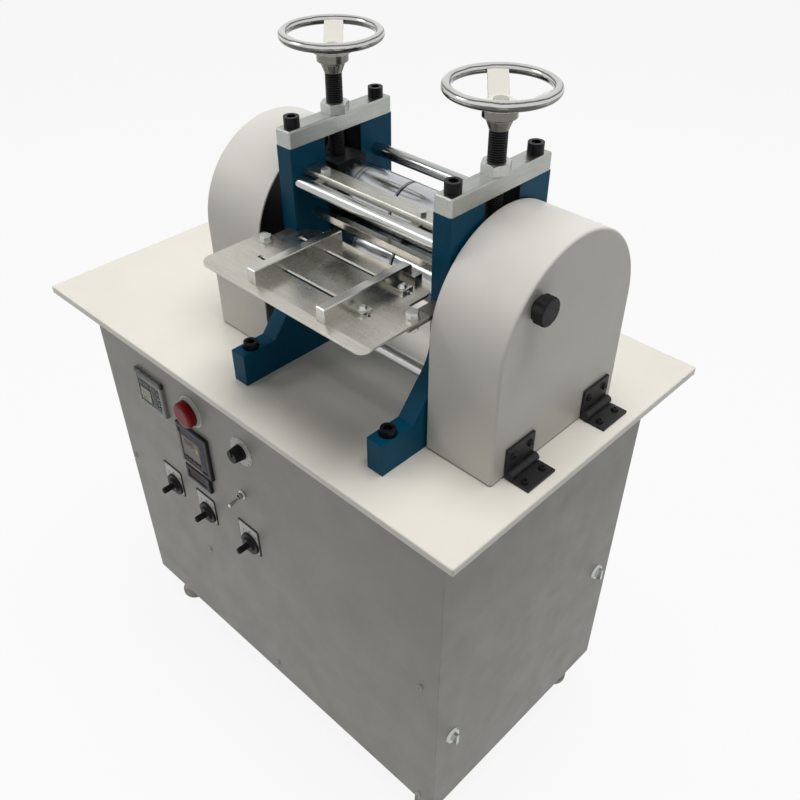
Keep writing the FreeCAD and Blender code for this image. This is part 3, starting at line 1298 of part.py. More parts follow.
def selector(letter):
    """Selector switch: low round boss with a finger grip standing out of it, on a stem."""
    spot = "selector_" + letter
    name = spot + "_knob"
    face = "-cabinet_deep/2 - collar_proud"
    boss = cone(name + "_boss", (spot + "_x", face + " - selector_gap - selector_boss_high",
                                 spot + "_z"), "y", "selector_boss - 1.5", "selector_boss",
                "selector_boss_high")
    grip = box(name + "_grip", (spot + "_x - grip_wide/2", face + " - grip_front",
                                spot + "_z - grip_tall/2"),
               ("grip_wide", "grip_front - 1", "grip_tall"))
    tip = -size_of("cabinet_deep") / 2 - size_of("collar_proud") - size_of("grip_front")
    soft = rounded(name + "_soft", grip, size_of("grip_round"),
                   lambda edge: edge.BoundBox.YMin < tip + 1)
    stem = cylinder(name + "_stem", (spot + "_x", face + " - 1", spot + "_z"), "y",
                    "plunger_radius", "20")
    subpart(join(name, boss, soft, stem))


sizes(speed_radius=12, speed_top=10, speed_gap=1, speed_high=16, speed_flutes=12)
sizes(speed_flute=1.6, speed_flute_long=13, pointer_wide=2, pointer_long=10, pointer_proud=1.5)


def speed_knob():
    """Fluted potentiometer knob with a pointer rib, on its spindle."""
    face = "-cabinet_deep/2"
    front = face + " - speed_gap - speed_high"
    skirt = cone("speed_skirt", ("speed_x", front, "speed_z"), "y", "speed_top", "speed_radius",
                 "speed_high")
    flutes = []
    count = int(size_of("speed_flutes"))
    for index in range(count):
        angle = 2 * math.pi * index / count
        flutes.append(cylinder("speed_flute", (
            "speed_x + %.5f*speed_radius" % math.cos(angle), front + " - 1",
            "speed_z + %.5f*speed_radius" % math.sin(angle)), "y", "speed_flute",
            "speed_flute_long"))
    rib = box("speed_pointer", ("speed_x - pointer_wide/2", front + " - pointer_proud",
                                "speed_z"), ("pointer_wide", "2*pointer_proud", "pointer_long"))
    stem = cylinder("speed_stem", ("speed_x", face + " - speed_gap - 3", "speed_z"), "y",
                    "small_hole_radius - bearing_clearance", "14")
    subpart(join("speed_knob", cut("speed_grip", skirt, *flutes), rib, stem))


sizes(toggle_pivot=4, toggle_lean=28, toggle_proud=9, toggle_long=26, toggle_flats=14)
sizes(toggle_nut=3, toggle_mouth=4.6, toggle_throat=3, toggle_mouth_deep=14)


def toggle_switch():
    """Bat-handle toggle: fixed threaded bush with a nut, and the lever on its pivot."""
    face = "-cabinet_deep/2"
    bush = cylinder("toggle_sleeve", ("toggle_x", face + " - toggle_proud", "toggle_z"), "y",
                    "small_hole_radius", "toggle_long")
    ring = hexagon("toggle_ring", ("toggle_x", face + " - toggle_nut", "toggle_z"), "y",
                   "toggle_flats", "toggle_nut")
    mouth = cone("toggle_cup", ("toggle_x", face + " - toggle_proud - 0.1", "toggle_z"), "y",
                 "toggle_mouth", "toggle_throat", "toggle_mouth_deep")
    subpart(cut("toggle_bush", join("toggle_blank", bush, ring), mouth))
    lever = body("toggle_lever", "toggle_x", face + " + toggle_pivot - 6", "toggle_z")
    lever.Placement = Placement(Vector(), Rotation(Vector(1, 0, 0), size_of("toggle_lean") / 2))
    revolve(lever, outline(lever, "xy", [
        ("0", "2"), ("1.3", "2"), ("1.4", "-9"), ("2.9", "-24"), ("2.2", "-26"), ("0", "-27")]))
    subpart(lever, "toggle_z")


sizes(gland_flats=24, gland_hex=7, gland_dome=12, gland_dome_radius=11, gland_mouth=7)
sizes(gland_thread=9, gland_ring=5)


def cable_gland():
    """Gland in the back sheet for the supply cable: hexagon, dome and inner lock ring."""
    wall = "cabinet_deep/2"
    inside = wall + " - sheet_thick"
    hexa = hexagon("gland_body", ("gland_x", wall, "gland_z"), "y", "gland_flats", "gland_hex")
    dome = cone("gland_dome_turned", ("gland_x", wall + " + gland_hex", "gland_z"), "y",
                "gland_dome_radius", "gland_mouth", "gland_dome")
    thread = cylinder("gland_thread_turned", ("gland_x", inside + " - gland_thread", "gland_z"),
                      "y", "gland_radius", "sheet_thick + gland_thread")
    ring = hexagon("gland_lock_ring", ("gland_x", inside + " - gland_ring", "gland_z"), "y",
                   "gland_flats", "gland_ring")
    bore = cylinder("gland_bore_hole", ("gland_x", inside + " - 2*gland_thread", "gland_z"), "y",
                    "gland_bore", "6*gland_thread")
    subpart(cut("cable_gland", join("gland_blank", hexa, dome, thread, ring), bore))


# ---------------------------------------------------------------- build, check and write

def build():
    table_top()
    front_panel()
    back_panel()
    side_panels()
    cabinet_frame()
    levelling_feet()
    side_latch("front_latch", "-latch_reach", "latch_front_z", -1)
    side_latch("back_latch", "latch_reach", "latch_back_z", 1)
    for side in SIDES:
        side_frame(side)
        pressure_screw(side)
        handwheel(side)
    crossbars()
    cap_screws()
    tie_rods()
    bearing_blocks()
    roll("lower_roll", "axis_low", "shaft_right_low", True)
    roll("upper_roll", "axis_high", "shaft_right_high", False)
    gears()
    sprockets()
    drive_chain()
    motor_shelf()
    gearbox()
    motor()
    left_guard()
    right_guard()
    guard_knob()
    hinges()
    feed_table()
    guides()
    strap_bars()
    subpart(group("hexagon_bolts", feed_brackets() + nip_clamps()), "table_high")
    instrument("counter_unit", "counter")
    instrument("display_unit", "display")
    instrument("meter_unit", "meter")
    counter_cover()
    switch_collars()
    stop_button()
    for letter in SELECTORS:
        selector(letter)
    speed_knob()
    toggle_switch()
    cable_gland()


def check_and_write():
    """Stop on any failed object or bad solid, then write one STEP file for each sub-part."""
    DOC.recompute()
    failed = [item.Name for item in DOC.Objects
              if "Invalid" in item.State or "Error" in item.State]
    if failed:
        raise RuntimeError("failed objects: " + ", ".join(failed))
    os.makedirs("parts", exist_ok=True)
    for item in SUBPARTS:
        shape = item.Shape
        if shape.isNull() or not shape.isValid() or not shape.Solids:
            raise RuntimeError("bad solid: " + item.Label)
        shape.exportStep(os.path.join("parts", item.Label + ".step"))


build()
check_and_write()
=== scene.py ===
import math

import bmesh
import bpy
from mathutils import Matrix, Vector


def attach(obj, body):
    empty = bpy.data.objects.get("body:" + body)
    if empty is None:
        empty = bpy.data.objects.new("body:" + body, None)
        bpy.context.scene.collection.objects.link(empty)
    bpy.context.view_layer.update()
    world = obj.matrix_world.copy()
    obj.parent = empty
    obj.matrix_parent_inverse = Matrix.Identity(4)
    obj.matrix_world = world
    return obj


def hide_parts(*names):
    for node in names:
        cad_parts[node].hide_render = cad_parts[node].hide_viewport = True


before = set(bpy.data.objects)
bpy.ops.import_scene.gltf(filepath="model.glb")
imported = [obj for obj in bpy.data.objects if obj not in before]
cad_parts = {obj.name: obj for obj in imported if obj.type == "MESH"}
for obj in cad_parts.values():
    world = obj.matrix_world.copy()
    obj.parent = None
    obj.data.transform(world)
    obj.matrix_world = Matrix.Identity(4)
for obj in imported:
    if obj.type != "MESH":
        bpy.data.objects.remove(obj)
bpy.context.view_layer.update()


# ---------------------------------------------------------------- cabinet
# A floor pan, four angle posts and folded sheet-steel panels, spot welded and screwed together.
# The outside is powder coated in a warm mid grey; the coat is thin and a little rubbed on folds.

def linear(red, green, blue):
    """A colour written as 0-255 screen values, as the linear RGBA that sockets take."""
    steps = [value / 255 for value in (red, green, blue)]
    return [v / 12.92 if v <= 0.04045 else ((v + 0.055) / 1.055) ** 2.4 for v in steps] + [1.0]


def shade(colour, share):
    """A colour made darker or lighter by a share."""
    return [min(1.0, value * share) for value in colour[:3]] + [1.0]


def add(tree, kind, feeds=(), **settings):
    """A shader node with its properties set and its inputs set to values or linked to sockets."""
    made = tree.nodes.new("ShaderNode" + kind)
    for name, value in settings.items():
        setattr(made, name, value)
    for place, value in dict(feeds).items():
        if isinstance(value, bpy.types.NodeSocket):
            tree.links.new(value, made.inputs[place])
        else:
            made.inputs[place].default_value = value
    return made


def maths(tree, operation, *values):
    """The result of one Math node on sockets and plain numbers."""
    return add(tree, "Math", dict(enumerate(values)), operation=operation).outputs[0]


def ramp(tree, value, first, last, low=0, high=1):
    """Runs evenly from low to high while a value runs from first to last."""
    return add(tree, "MapRange", {0: value, 1: first, 2: last, 3: low, 4: high}).outputs[0]


def over(tree, share, under, top):
    """The under colour, going over to the top colour where share is 1."""
    return add(tree, "Mix", {0: share, 6: under, 7: top}, data_type="RGBA").outputs[2]


def on_object(tree):
    """The place of a point in the object's own coordinates, in metres."""
    return add(tree, "TexCoord").outputs["Object"]


def noise(tree, place, scale, detail, roughness):
    """Cloudy noise around 0.5 at a place."""
    return add(tree, "TexNoise", {"Vector": place, "Scale": scale, "Detail": detail,
                                  "Roughness": roughness}).outputs[0]


def effect(name, inputs, outputs):
    """An empty node group with named sockets; returns its tree, its inputs and its outputs."""
    tree = bpy.data.node_groups.new(name, "ShaderNodeTree")
    for label, kind in inputs:
        tree.interface.new_socket(label, in_out="INPUT", socket_type="NodeSocket" + kind)
    for label, kind in outputs:
        tree.interface.new_socket(label, in_out="OUTPUT", socket_type="NodeSocket" + kind)
    entry = tree.nodes.new("NodeGroupInput").outputs
    leave = tree.nodes.new("NodeGroupOutput").inputs
    return tree, entry, leave


def rubbed_edges():
    """Rounds every sharp edge a little and gives a broken mask of where it has been rubbed."""
    tree, entry, leave = effect(
        "rubbed_edges", [("Radius", "Float"), ("Wear", "Float")],
        [("Normal", "Vector"), ("Worn", "Float")])
    rounded = add(tree, "Bevel", {"Radius": entry["Radius"]}, samples=4).outputs["Normal"]
    flat = add(tree, "NewGeometry").outputs["Normal"]
    turned = add(tree, "VectorMath", {0: rounded, 1: flat}, operation="DOT_PRODUCT")
    edge = ramp(tree, turned.outputs["Value"], 0.97, 0.80)
    crumbs = noise(tree, on_object(tree), scale=160, detail=5, roughness=0.5)
    chips = ramp(tree, crumbs, 0.42, 0.62)
    worn = maths(tree, "MULTIPLY", maths(tree, "MULTIPLY", edge, chips), entry["Wear"])
    tree.links.new(rounded, leave["Normal"])
    tree.links.new(worn, leave["Worn"])
    return tree


def soft_clouds():
    """Broad soft patches that go from Low to High, for uneven gloss and handling marks."""
    tree, entry, leave = effect(
        "soft_clouds", [("Scale", "Float"), ("Low", "Float"), ("High", "Float")],
        [("Value", "Float")])
    patches = noise(tree, on_object(tree), entry["Scale"], detail=6, roughness=0.62)
    tree.links.new(ramp(tree, patches, 0.3, 0.7, entry["Low"], entry["High"]), leave["Value"])
    return tree


def fine_grain():
    """Bump of fine even grain on top of a given normal: orange peel, casting skin, moulding."""
    tree, entry, leave = effect(
        "fine_grain", [("Scale", "Float"), ("Height", "Float"), ("Normal", "Vector")],
        [("Normal", "Vector")])
    grain = noise(tree, on_object(tree), entry["Scale"], detail=3, roughness=0.5)
    bump = add(tree, "Bump", {"Height": grain, "Distance": entry["Height"],
                              "Normal": entry["Normal"]})
    tree.links.new(bump.outputs[0], leave["Normal"])
    return tree


RUBBED = rubbed_edges()
CLOUDS = soft_clouds()
GRAIN = fine_grain()


def rubbed(tree, radius, amount):
    """The rubbed edges of one finish: their Normal and their Worn mask."""
    return add(tree, "Group", {"Radius": radius, "Wear": amount}, node_tree=RUBBED).outputs


def clouds(tree, scale, low, high):
    """The soft patches of one finish, from low to high."""
    return add(tree, "Group", {"Scale": scale, "Low": low, "High": high},
               node_tree=CLOUDS).outputs["Value"]


def grained(tree, scale, height, normal):
    """The fine grain of one finish, on top of a normal."""
    return add(tree, "Group", {"Scale": scale, "Height": height, "Normal": normal},
               node_tree=GRAIN).outputs["Normal"]


def start(name, **plain):
    """A material with one Principled shader, whose plain values are set on its own sockets."""
    material = bpy.data.materials.new(name)
    material.use_nodes = True
    tree = material.node_tree
    shader = tree.nodes["Principled BSDF"]
    for label, value in plain.items():
        shader.inputs[label.replace("_", " ")].default_value = value
    return material, tree, shader


def feed(tree, shader, **sockets):
    """Link what changes over the surface to the shader's inputs of those names."""
    for label, socket in sockets.items():
        tree.links.new(socket, shader.inputs[label.replace("_", " ")])


def painted(name, colour, under, mottle, gloss, edge, grain=(900, 0.00006), **plain):
    """Sprayed or powder-coated paint: orange peel, faint mottle, and primer where it is rubbed.

    Gloss is the lowest and highest roughness, edge a radius and how worn it is, and grain a
    scale and its height.
    """
    material, tree, shader = start(name, **plain)
    edges = rubbed(tree, *edge)
    coat = over(tree, clouds(tree, scale=9, low=0, high=1),
                shade(colour, 1 - mottle), shade(colour, 1 + mottle))
    feed(tree, shader, Base_Color=over(tree, edges["Worn"], coat, under),
         Roughness=clouds(tree, scale=22, low=gloss[0], high=gloss[1]),
         Normal=grained(tree, *grain, edges["Normal"]))
    return material


def wear(material, *nodes):
    """Put a finish on CAD nodes through their own material slots."""
    for name in nodes:
        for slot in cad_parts[name].material_slots:
            slot.material = material


def finished(name, shape, finish, body):
    """Make a bmesh a named piece with one finish, riding on a body."""
    data = bpy.data.meshes.new(name)
    shape.to_mesh(data)
    shape.free()
    piece = bpy.data.objects.new(name, data)
    bpy.context.scene.collection.objects.link(piece)
    data.materials.append(finish)
    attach(piece, body)
    return piece


def pan_screw(shape, place, facing, radius, height):
    """Add a domed screw head with a round driver recess, standing on a surface."""
    taper, dome, land, recess = 0.86, (0.3, 0.22), (0.18, 0), (0.05, -0.7)
    turn = Vector(facing).to_track_quat("Z", "Y").to_matrix().to_4x4()
    middle = Matrix.Translation(place) @ turn @ Matrix.Translation((0, 0, height / 2))
    made = bmesh.ops.create_cone(shape, cap_ends=True, segments=20, radius1=radius,
                                 radius2=radius * taper, depth=height, matrix=middle)
    top = max((face for vert in made["verts"] for face in vert.link_faces),
              key=lambda face: face.calc_center_median().dot(Vector(facing)))
    for inward, rise in (dome, land, recess):
        bmesh.ops.inset_region(shape, faces=[top], thickness=radius * inward, depth=height * rise)


cabinet_grey = painted("cabinet_grey", linear(146, 144, 138), linear(174, 172, 166),
                       mottle=0.025, gloss=(0.36, 0.52), grain=(1100, 0.00008), edge=(0.0012, 0.5))
screw_grey = painted("screw_grey", linear(182, 180, 172), linear(96, 94, 88), mottle=0.1,
                     gloss=(0.3, 0.45), edge=(0.0006, 0.8))
wear(cabinet_grey, "front_panel", "back_panel", "left_panel", "right_panel", "floor_pan",
     "corner_posts")

PANEL_FRONT = -0.2045
PANEL_SCREWS = ((-0.349, 0.367), (-0.158, 0.272), (0.326, 0.374), (-0.004, 0.100), (0.328, 0.088))
PANEL_HEAD_RADIUS, PANEL_HEAD_HEIGHT = 0.0045, 0.0024
heads = bmesh.new()
for across, up in PANEL_SCREWS:
    pan_screw(heads, (across, PANEL_FRONT, up), (0, -1, 0), PANEL_HEAD_RADIUS, PANEL_HEAD_HEIGHT)
finished("panel_screws", heads, screw_grey, "cabinet")


# ---------------------------------------------------------------- feet
# Bell-shaped nylon levelling feet on plated studs, each locked by a nut under the floor pan.
# The nylon is natural off-white, scuffed and dusty at the rim where it drags on the floor.

def brushed_lines():
    """Fine parallel tool marks: noise stretched by a scale on each axis, as value and bump."""
    tree, entry, leave = effect(
        "brushed_lines", [("Stretch", "Vector"), ("Height", "Float"), ("Normal", "Vector")],
        [("Normal", "Vector"), ("Value", "Float")])
    drawn = add(tree, "VectorMath", {0: on_object(tree), 1: entry["Stretch"]},
                operation="MULTIPLY")
    marks = noise(tree, drawn.outputs[0], scale=1, detail=4, roughness=0.6)
    bump = add(tree, "Bump", {"Height": marks, "Distance": entry["Height"],
                              "Normal": entry["Normal"]})
    tree.links.new(bump.outputs[0], leave["Normal"])
    tree.links.new(marks, leave["Value"])
    return tree


LINES = brushed_lines()


def metal(name, colour, bright, gloss, stretch=(300, 300, 300), height=0.00002,
          edge=(0.0006, 0.7)):
    """Bare or plated metal: tool marks along one way, cloudy gloss, brighter rubbed edges."""
    material, tree, shader = start(name, Metallic=1.0)
    edges = rubbed(tree, *edge)
    lines = add(tree, "Group", {"Stretch": stretch, "Height": height, "Normal": edges["Normal"]},
                node_tree=LINES).outputs
    marked = over(tree, ramp(tree, lines["Value"], 0.3, 0.7), shade(colour, 0.86), colour)
    feed(tree, shader, Base_Color=over(tree, edges["Worn"], marked, bright),
         Roughness=clouds(tree, scale=35, low=gloss[0], high=gloss[1]), Normal=lines["Normal"])
    return material


def moulded(name, colour, dusty, gloss=(0.35, 0.55), grain=(1400, 0.00005), edge=(0.0008, 0.5),
            **plain):
    """Moulded plastic: fine skin, a little dust in patches and a lighter colour on the rubbed
    edges.
    """
    material, tree, shader = start(name, **plain)
    edges = rubbed(tree, *edge)
    dust = maths(tree, "MAXIMUM", clouds(tree, scale=70, low=0, high=0.35), edges["Worn"])
    feed(tree, shader, Base_Color=over(tree, dust, colour, dusty),
         Roughness=clouds(tree, scale=90, low=gloss[0], high=gloss[1]),
         Normal=grained(tree, *grain, edges["Normal"]))
    return material


foot_nylon = moulded("foot_nylon", linear(205, 200, 186), linear(150, 144, 130),
                     gloss=(0.45, 0.6), edge=(0.001, 0.8), Subsurface_Weight=0.08,
                     Subsurface_Radius=(0.004, 0.003, 0.002))
zinc = metal("zinc_plate", linear(196, 198, 194), linear(224, 226, 222), gloss=(0.28, 0.45))
wear(foot_nylon, "levelling_feet")
wear(zinc, "foot_studs")


# ---------------------------------------------------------------- table
# A flat 10 mm steel plate with rounded corners, stoved in cream-white enamel.
# Tools and belts slide over it, so the gloss is uneven and the top edge is slightly rubbed.

table_paint = painted("table_paint", linear(228, 224, 214), linear(150, 146, 138), mottle=0.025,
                      gloss=(0.28, 0.42), grain=(700, 0.00006), edge=(0.002, 0.4))
wear(table_paint, "table_top")


# ---------------------------------------------------------------- gear motor and its shelf
# A folded shelf spans the cabinet and carries the worm gearbox and its induction motor.
# The shelf is coated like the cabinet, the gearbox is silver-painted casting, the motor dull blue.

casting = painted("gearbox_casting", linear(148, 150, 150), linear(180, 180, 176), mottle=0.12,
                  gloss=(0.45, 0.65), grain=(500, 0.0003), edge=(0.002, 0.6), Metallic=0.35)
motor_paint = painted("motor_paint", linear(62, 84, 96), linear(140, 142, 140), mottle=0.1,
                      gloss=(0.4, 0.6), grain=(500, 0.0002), edge=(0.002, 0.7))
wear(cabinet_grey, "motor_shelf")
wear(casting, "gearbox")
wear(motor_paint, "motor")


# ---------------------------------------------------------------- chain drive
# Steel sprockets with a half-inch roller chain; the chain is side plates pinned over rollers.
# All of it is plain steel, dark with old oil and dust, bright only where the rollers run.

oily_steel = metal("oily_steel", linear(104, 100, 94), linear(176, 176, 172),
                   stretch=(60, 420, 420), gloss=(0.3, 0.5), edge=(0.0006, 0.9))
wear(oily_steel, "drive_pinion", "roll_sprocket")

BIG_TEETH, BIG_RADIUS, BIG_SEATS = 48, 0.09709, 14
SMALL_TEETH, SMALL_RADIUS, SMALL_SEATS = 16, 0.03255, 4
FREE_LINKS = 32
CENTRE_DROP = 0.407
BIG_CENTRE = Vector((0.291, -0.010, 0.847))
LEAN = math.asin((BIG_RADIUS - SMALL_RADIUS) / CENTRE_DROP)
SPAN = CENTRE_DROP * math.cos(LEAN)
BIG_ARC = BIG_RADIUS * (math.pi / 2 + LEAN)
SMALL_ARC = SMALL_RADIUS * (math.pi / 2 - LEAN)
HALF_LOOP = BIG_ARC + SPAN + SMALL_ARC


def loop_point(distance, side):
    """The point of the pitch line at a distance from the top, down the +Y or the -Y side."""
    if distance < BIG_ARC:
        angle = distance / BIG_RADIUS
        across, up = BIG_RADIUS * math.sin(angle), BIG_RADIUS * math.cos(angle)
    elif distance < BIG_ARC + SPAN:
        run = distance - BIG_ARC
        across = BIG_RADIUS * math.cos(LEAN) - run * math.sin(LEAN)
        up = -BIG_RADIUS * math.sin(LEAN) - run * math.cos(LEAN)
    else:
        angle = (HALF_LOOP - distance) / SMALL_RADIUS
        across = SMALL_RADIUS * math.sin(angle)
        up = -CENTRE_DROP - SMALL_RADIUS * math.cos(angle)
    return BIG_CENTRE + Vector((0, side * across, up))


seats = [BIG_RADIUS * math.radians(360 / BIG_TEETH * index) for index in range(BIG_SEATS)]
low_seats = [HALF_LOOP - SMALL_RADIUS * math.radians(360 / SMALL_TEETH * index)
             for index in reversed(range(SMALL_SEATS))]
free_pitch = (low_seats[0] - seats[-1]) / FREE_LINKS
free = [seats[-1] + free_pitch * index for index in range(1, FREE_LINKS)]
stops = seats + free + low_seats
pins = [loop_point(stop, 1) for stop in stops] + [loop_point(stop, -1) for stop in stops[-2:0:-1]]

PLATE_FACETS, PLATE_RADIUS, PLATE_THICK = 12, 0.0050, 0.0010
INNER_PLATE, OUTER_PLATE = 0.0042, 0.0054
ROLLER_FACETS, ROLLER_RADIUS, ROLLER_LENGTH = 10, 0.0040, 0.0076
PIN_FACETS, PIN_RADIUS, PIN_LENGTH = 8, 0.0018, 0.0128


def link_plate(shape, first, second, reach):
    """Add one oval side plate from a pin to the next, at a reach along X."""
    along = (second - first).normalized()
    sideways = Vector((1, 0, 0))
    basis = Matrix((along, sideways.cross(along), sideways)).transposed().to_4x4()
    half_facet = Matrix.Rotation(math.pi / PLATE_FACETS, 4, "Z")
    made = bmesh.ops.create_cone(
        shape, cap_ends=True, segments=PLATE_FACETS, radius1=PLATE_RADIUS, radius2=PLATE_RADIUS,
        depth=PLATE_THICK, matrix=Matrix.Translation(first + sideways * reach) @ basis @ half_facet)
    ahead = [vert for vert in made["verts"] if (vert.co - first).dot(along) > 0]
    bmesh.ops.translate(shape, verts=ahead, vec=second - first)


chain = bmesh.new()
for index, pin in enumerate(pins):
    following = pins[(index + 1) % len(pins)]
    reach = OUTER_PLATE if index % 2 else INNER_PLATE
    for side in (-1, 1):
        link_plate(chain, pin, following, side * reach)
    across_x = Matrix.Translation(pin) @ Matrix.Rotation(math.pi / 2, 4, "Y")
    for facets, radius, length in ((ROLLER_FACETS, ROLLER_RADIUS, ROLLER_LENGTH),
                                   (PIN_FACETS, PIN_RADIUS, PIN_LENGTH)):
        bmesh.ops.create_cone(chain, cap_ends=True, segments=facets, radius1=radius,
                              radius2=radius, depth=length, matrix=across_x)
roller_chain = finished("roller_chain", chain, oily_steel, "cabinet")
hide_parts("drive_chain")


# ---------------------------------------------------------------- side frames
# Two cast frames with splayed feet and a window for the bearing blocks, milled on the faces.
# They are sprayed in a deep petrol-blue gloss enamel that has chipped here and there on the
# edges, and their colour is taken to near-black inside the windows.

def between(material, axis, low, high):
    """1 where an object coordinate lies between two values, and 0 elsewhere."""
    tree = material.node_tree
    split = add(tree, "SeparateXYZ", {0: on_object(tree)}).outputs[axis]
    return maths(tree, "MULTIPLY", maths(tree, "GREATER_THAN", split, low),
                 maths(tree, "LESS_THAN", split, high))


def both_of(material, first, second):
    """The share where two masks of one material meet."""
    return maths(material.node_tree, "MULTIPLY", first, second)


def touch_up(material, share, colour):
    """Lay a second colour over a finish where the share is 1."""
    tree = material.node_tree
    base = tree.nodes["Principled BSDF"].inputs["Base Color"]
    tree.links.new(over(tree, share, base.links[0].from_socket, colour), base)


WINDOW_DEEP = (-0.0393, 0.0193)
WINDOW_UP = (0.8165, 0.99)
frame_blue = painted("frame_blue", linear(0, 74, 102), linear(60, 98, 112), mottle=0.12,
                     gloss=(0.3, 0.45), grain=(420, 0.00012), edge=(0.0015, 0.35),
                     Specular_IOR_Level=0.1)
in_window = both_of(frame_blue, between(frame_blue, "Y", *WINDOW_DEEP),
                    between(frame_blue, "Z", *WINDOW_UP))
touch_up(frame_blue, in_window, linear(34, 36, 38))
wear(frame_blue, "left_side_frame", "right_side_frame", "tie_rod_screws")


# ---------------------------------------------------------------- crossbars, nuts and cap screws
# Ground flat steel bars close the frame windows, each held by two black cap screws.
# A large plated nut on each bar carries the pressure screw.

ground_steel = metal("ground_steel", linear(174, 176, 172), linear(214, 216, 212),
                     stretch=(260, 30, 260), gloss=(0.24, 0.4), edge=(0.001, 0.8))
black_oxide = painted("black_oxide", linear(22, 22, 24), linear(84, 82, 80), mottle=0.2,
                      gloss=(0.3, 0.45), grain=(900, 0.00004), edge=(0.0006, 0.5),
                      Specular_IOR_Level=0.15)
wear(ground_steel, "crossbars")
wear(zinc, "spindle_nuts")
wear(black_oxide, "cap_screws")


# ---------------------------------------------------------------- tie rods
# Four turned bright steel bars that hold the frames apart, each screwed up from both sides.
# They are left bare, with fine rings from the lathe.

turned_steel = metal("turned_steel", linear(188, 190, 188), linear(226, 228, 226),
                     stretch=(1400, 12, 12), height=0.00001, gloss=(0.14, 0.26),
                     edge=(0.0006, 0.6))
wear(turned_steel, "tie_rods")


# ---------------------------------------------------------------- bearing blocks, rolls and gears
# Blackened cast blocks slide in the frame windows; the rolls are turned, hardened and polished,
# with one ring groove and a few fine scribed rings, darkened by painted shade. The gears are
# plain cut steel with a film of grease.

block_black = painted("block_black", linear(22, 23, 25), linear(74, 72, 70), mottle=0.2,
                      gloss=(0.38, 0.55), grain=(500, 0.0002), edge=(0.0012, 0.6),
                      Specular_IOR_Level=0.15)
roll_polish = metal("roll_polish", linear(190, 193, 195), linear(226, 228, 230),
                    stretch=(900, 6, 6), height=0.000008, gloss=(0.1, 0.22), edge=(0.0006, 0.5))
gear_steel = metal("gear_steel", linear(128, 126, 120), linear(190, 190, 186),
                   stretch=(80, 500, 500), gloss=(0.3, 0.48), edge=(0.0006, 0.9))
# The ring groove and the fine rings on the polished rolls are painted dark: painted shade in them.
ROLL_RING_SHADES = ((0.1138, 0.1178), (0.0458, 0.0470), (0.0520, 0.0528), (0.1840, 0.1850))
for low, high in ROLL_RING_SHADES:
    touch_up(roll_polish, between(roll_polish, "X", low, high), linear(34, 34, 36))
wear(block_black, "lower_bearing_blocks", "upper_bearing_blocks")
wear(roll_polish, "lower_roll", "upper_roll")
wear(gear_steel, "lower_gear", "upper_gear")


# ---------------------------------------------------------------- pressure screws and handwheels
# Blackened screws with a 2.5 mm thread and bare ends run down through the nuts. Each has a cast
# handwheel: chrome plated over a polished rim, painted pale on the spokes, duller on the hub.

def threaded(name, pitch, depth):
    """Black screw steel with a rounded thread as bump: rings at the pitch along Z."""
    material, tree, shader = start(name, Metallic=1.0)
    up = add(tree, "SeparateXYZ", {0: on_object(tree)}).outputs["Z"]
    crest = maths(tree, "SINE", maths(tree, "MULTIPLY", up, 2 * math.pi / pitch))
    bump = add(tree, "Bump", {"Height": ramp(tree, crest, -1, 1), "Distance": depth})
    rubbed_crest = ramp(tree, crest, 0.7, 1, 0, 0.5)
    feed(tree, shader, Normal=bump.outputs[0],
         Base_Color=over(tree, rubbed_crest, linear(24, 24, 26), linear(92, 90, 88)),
         Roughness=clouds(tree, scale=80, low=0.3, high=0.5))
    return material


def painted_reflection_bands(material, turns, colour):
    """Painted reflection bands by which way plated metal faces, and painted shade underneath."""
    tree = material.node_tree
    normal = add(tree, "NewGeometry").outputs["Normal"]
    facing_up = add(tree, "SeparateXYZ", {0: normal}).outputs["Z"]
    uneven = clouds(tree, scale=26, low=0, high=2.2)
    wave = maths(tree, "SINE", maths(tree, "MULTIPLY_ADD", facing_up, turns, uneven))
    bands = ramp(tree, wave, 0.25, 0.85, 0, 0.85)
    ragged_up = maths(tree, "MULTIPLY_ADD", uneven, 0.3, facing_up)
    painted_underside_shade = ramp(tree, ragged_up, 0.15, 0.4, 0.9, 0)
    touch_up(material, maths(tree, "MAXIMUM", bands, painted_underside_shade), colour)


def near_upright(material, across, deep, reach):
    """1 within a reach of an upright line, and 0 outside it."""
    tree = material.node_tree
    flat = add(tree, "VectorMath", {0: on_object(tree), 1: (1, 1, 0)}, operation="MULTIPLY")
    gap = add(tree, "VectorMath", {0: flat.outputs[0], 1: (across, deep, 0)},
              operation="DISTANCE")
    return maths(tree, "LESS_THAN", gap.outputs["Value"], reach)


THREAD_PITCH, THREAD_DEPTH = 0.0025, 0.0009
BARE_END = (1.0722, 1.2)
screw_black = threaded("screw_black", THREAD_PITCH, THREAD_DEPTH)
touch_up(screw_black, between(screw_black, "Z", *BARE_END), linear(196, 194, 186))
wear(screw_black, "left_pressure_screw", "right_pressure_screw")

SPINDLES = ((-0.006, -0.010), (0.238, -0.010))
HUB_UP = (0.9, 1.072)
SPOKES_UP = (1.0672, 1.2)
SPOKE_REACH = 0.0475
SPOKE_DULLNESS = 0.35
chrome = metal("chrome_plate", linear(206, 206, 203), linear(232, 232, 230),
               stretch=(20, 20, 20), gloss=(0.06, 0.14), edge=(0.0006, 0.3))
